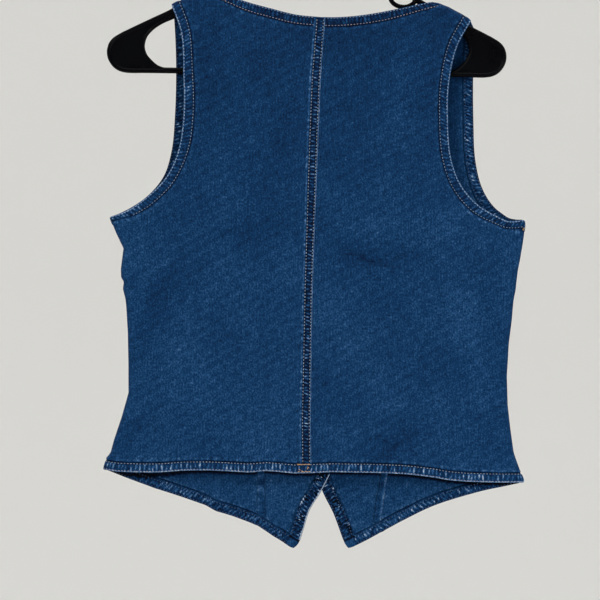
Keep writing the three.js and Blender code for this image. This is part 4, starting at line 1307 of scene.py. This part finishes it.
def make_loose_threads():
    """Two short ends hanging from the left front's point, and the bar of thread they come from."""
    tip = np.array([1.6, 517.2])
    rows = []
    for shift, long, sway in ((-3.4, 4.6, 0.7), (2.4, 4.2, -0.5)):
        start = tip + np.array([shift, 0.0])
        line = smooth_line([start, start + (sway, long * 0.55), start + (sway * 0.4, long)], 6)
        rows.append(lifted("front", "left", line, np.linspace(-2.4, -3.4, len(line))))
    bar = smooth_line([tip + (-4.2, -1.0), tip + (-0.5, 0.1), tip + (3.4, -1.1)], 8)
    rows.append(lifted("front", "left", bar, np.full(len(bar), -2.9)))
    return thread_piece("loose_thread_ends", rows, THREAD_TAN, radius=0.22)


# How each kind of turned edge was sewn and has worn. row is how far in its edge row lies, pitch and slant
# are those of its ridges, rope is how pale they are, patches how mottled the turned side is, base how
# worn the whole is, fold the outer fold, tip the very edge and under the fold's inner side.
BLUE_INSIDE = {"edge": THREAD_TAN, "inner": THREAD_GREY, "turned": THREAD_BLUE}
LOOKS = {
    "hem": {
        "row": 1.3, "pitch": (3.2, 6.2), "slant": 0.15, "rope": 0.7, "patches": 0.3, "base": 0.13,
        "fold": 0.42, "tip": 0.0, "under": 0.0, "threads": BLUE_INSIDE, "over": over_centre_seam,
    },
    "neck": {
        "row": 1.3, "pitch": (2.8, 4.6), "slant": 0.1, "rope": 0.45, "patches": 0.3, "base": 0.0,
        "fold": 0.1, "tip": 0.0, "under": 0.0,
        "threads": {**BLUE_INSIDE, "edge": THREAD_PALE, "inner": THREAD_TAN},
    },
    "armhole": {
        "row": 1.2, "pitch": (3.0, 5.6), "slant": 0.5, "rope": 0.6, "patches": 0.5, "base": 0.07,
        "fold": 0.36, "tip": 0.5, "under": 0.0,
        "threads": {**BLUE_INSIDE, "edge": THREAD_PALE, "inner": THREAD_BLEACHED},
    },
    "front_hem": {
        "row": 1.4, "pitch": (3.2, 5.6), "slant": -0.7, "rope": 0.7, "patches": 0.4, "base": 0.12,
        "fold": 0.3, "tip": 0.3, "under": 0.2, "threads": BLUE_INSIDE,
    },
    "opening": {
        "row": 1.6, "pitch": (3.0, 5.4), "slant": 0.35, "rope": 0.5, "patches": 1.2, "base": 0.03,
        "fold": 0.34, "tip": 1.0, "under": 1.1, "threads": BLUE_INSIDE,
    },
}

# The left armhole's inner row of stitches starts this far along, and how thick each underarm's knot is.
ROW_START = {("back", "left"): 24}
KNOTS = {"left": 0.7, "right": 1.7}


def make_bands():
    """Each band's face, edge, seed, nodes and look, and from them its pieces."""
    bands = {
        "back_hem_band": ("back", "back_hem", 11, ["back_hem_left", "back_hem_right"], LOOKS["hem"]),
        "back_neck_band": (
            "back", "back_neck", 12, ["back_neck_hem_left", "back_neck_hem_right"], LOOKS["neck"]
        ),
    }
    for n, side in enumerate(("left", "right")):
        for m, face in enumerate(("back", "front")):
            look = {**LOOKS["armhole"], "knot": KNOTS[side], "row_start": ROW_START.get((face, side), 0)}
            edge, nodes = face + "_armhole_" + side, [face + "_armhole_hem_" + side]
            bands[face + "_armhole_band_" + side] = (face, edge, 20 + 4 * n + m, nodes, look)
        hem = "front_hem_" + side
        bands["front_hem_band_" + side] = ("front", hem, 30 + n, [hem], LOOKS["front_hem"])
        look = LOOKS["opening"] if side == "left" else {**LOOKS["opening"], "tip": 0.2, "under": 0.15}
        edge, nodes = "front_opening_" + side, ["front_edge_hem_" + side, "front_neck_hem_" + side]
        bands["front_opening_band_" + side] = ("front", edge, 40 + n, nodes, look)
    return {name: make_band(name, *rest) for name, rest in bands.items()}


panels = {(face, side): make_panel(face, side) for face in ("back", "front") for side in ("left", "right")}
bands = make_bands()
centre_seam = make_centre_seam()
buttons, buttonholes = make_buttons()
darts = {side: make_dart(side) for side in ("left", "right")}
tacks = make_tacks()
loose_threads = make_loose_threads()
make_hanger()

for (face, side), (piece, size, area) in panels.items():
    names = [name for name in bands if name.startswith(face) and name.endswith(side)]
    if (face, side) == ("back", "right"):
        names += ["back_hem_band", "back_neck_band"]
    with_it = [part for name in names for part in bands[name]]
    if (face, side) == ("back", "right"):
        with_it += [*centre_seam, tacks]
    if face == "front":
        with_it.append(darts[side])
        with_it += [buttonholes, *buttons] if side == "right" else [loose_threads]


# Stage, light and camera. The room's sizes are in millimetres too, a lamp's place in metres.
PICTURE = 600
LEAN = math.radians(1.8)
SCALE = 1.05
CAMERA_AWAY = 3.0
AIM = (0.9, -441.5)
SENSOR = 36.0
FLOOR = -1900
WALL = {"away": 5400, "cove": 1500, "top": 3500}


def make_stage():
    """A pale floor that sweeps up into a wall all round, so that every view has a plain ground."""
    away, cove = WALL["away"] - WALL["cove"], WALL["cove"]
    angles = np.linspace(0, math.pi / 2, 16)
    sweep = [(away + cove * math.sin(a), FLOOR + cove - cove * math.cos(a)) for a in angles]
    mesh = to_mesh(spin_profile([(0, FLOOR), *sweep, (WALL["away"], WALL["top"])], 96), "pale_floor")
    mesh.polygons.foreach_set("use_smooth", [True] * len(mesh.polygons))
    floor = bpy.data.objects.new("pale_floor", mesh)
    bpy.context.scene.collection.objects.link(floor)
    material, _, shader = new_material("pale matt paint", Roughness=0.95)
    shader.inputs["Base Color"].default_value = srgb("#e3e3e2")
    mesh.materials.append(material)


def area_light(name, place, aim, size, watts, colour):
    data = bpy.data.lights.new(name, "AREA")
    data.shape = "DISK"
    data.size = size
    data.energy = watts
    data.color = srgb(colour)[:3]
    lamp = bpy.data.objects.new(name, data)
    lamp.location = place
    lamp.rotation_euler = (Vector(aim) - Vector(place)).to_track_quat("-Z", "Y").to_euler()
    lamp.visible_camera = False
    bpy.context.scene.collection.objects.link(lamp)


def make_light():
    world = bpy.data.worlds.new("soft room light")
    world.use_nodes = True
    sky = world.node_tree.nodes["Background"]
    sky.inputs["Color"].default_value = srgb("#f4f4f2")
    sky.inputs["Strength"].default_value = 0.9
    bpy.context.scene.world = world
    middle = (0, 0, -0.42)
    area_light("window_light", (-1.3, -2.6, 0.9), middle, 0.7, 30, "#fff7ec")
    area_light("fill_light", (1.6, -2.4, -0.9), middle, 1.8, 21, "#f6f8ff")
    area_light("front_window_light", (1.3, 2.6, 0.9), middle, 0.7, 24, "#fff7ec")
    area_light("front_fill_light", (-1.6, 2.4, -0.9), middle, 1.8, 16, "#f6f8ff")
    area_light("ceiling_light", (0, 0, 2.6), middle, 3.0, 70, "#fdfbf7")
    bpy.context.scene.view_settings.view_transform = "Standard"


def make_camera():
    """The photograph's view: square on to the back, with the garment leaning a little to the right."""
    data = bpy.data.cameras.new("photo_view")
    data.sensor_width = SENSOR
    data.lens = SENSOR * (CAMERA_AWAY - 0.01) / (PICTURE * SCALE * MM)
    camera = bpy.data.objects.new("photo_view", data)
    camera.location = (AIM[0] * MM, -CAMERA_AWAY, AIM[1] * MM)
    camera.rotation_euler = (math.pi / 2, -LEAN, 0)
    camera.rotation_mode = "XYZ"
    bpy.context.scene.collection.objects.link(camera)
    bpy.context.scene.camera = camera


make_stage()
make_light()
make_camera()
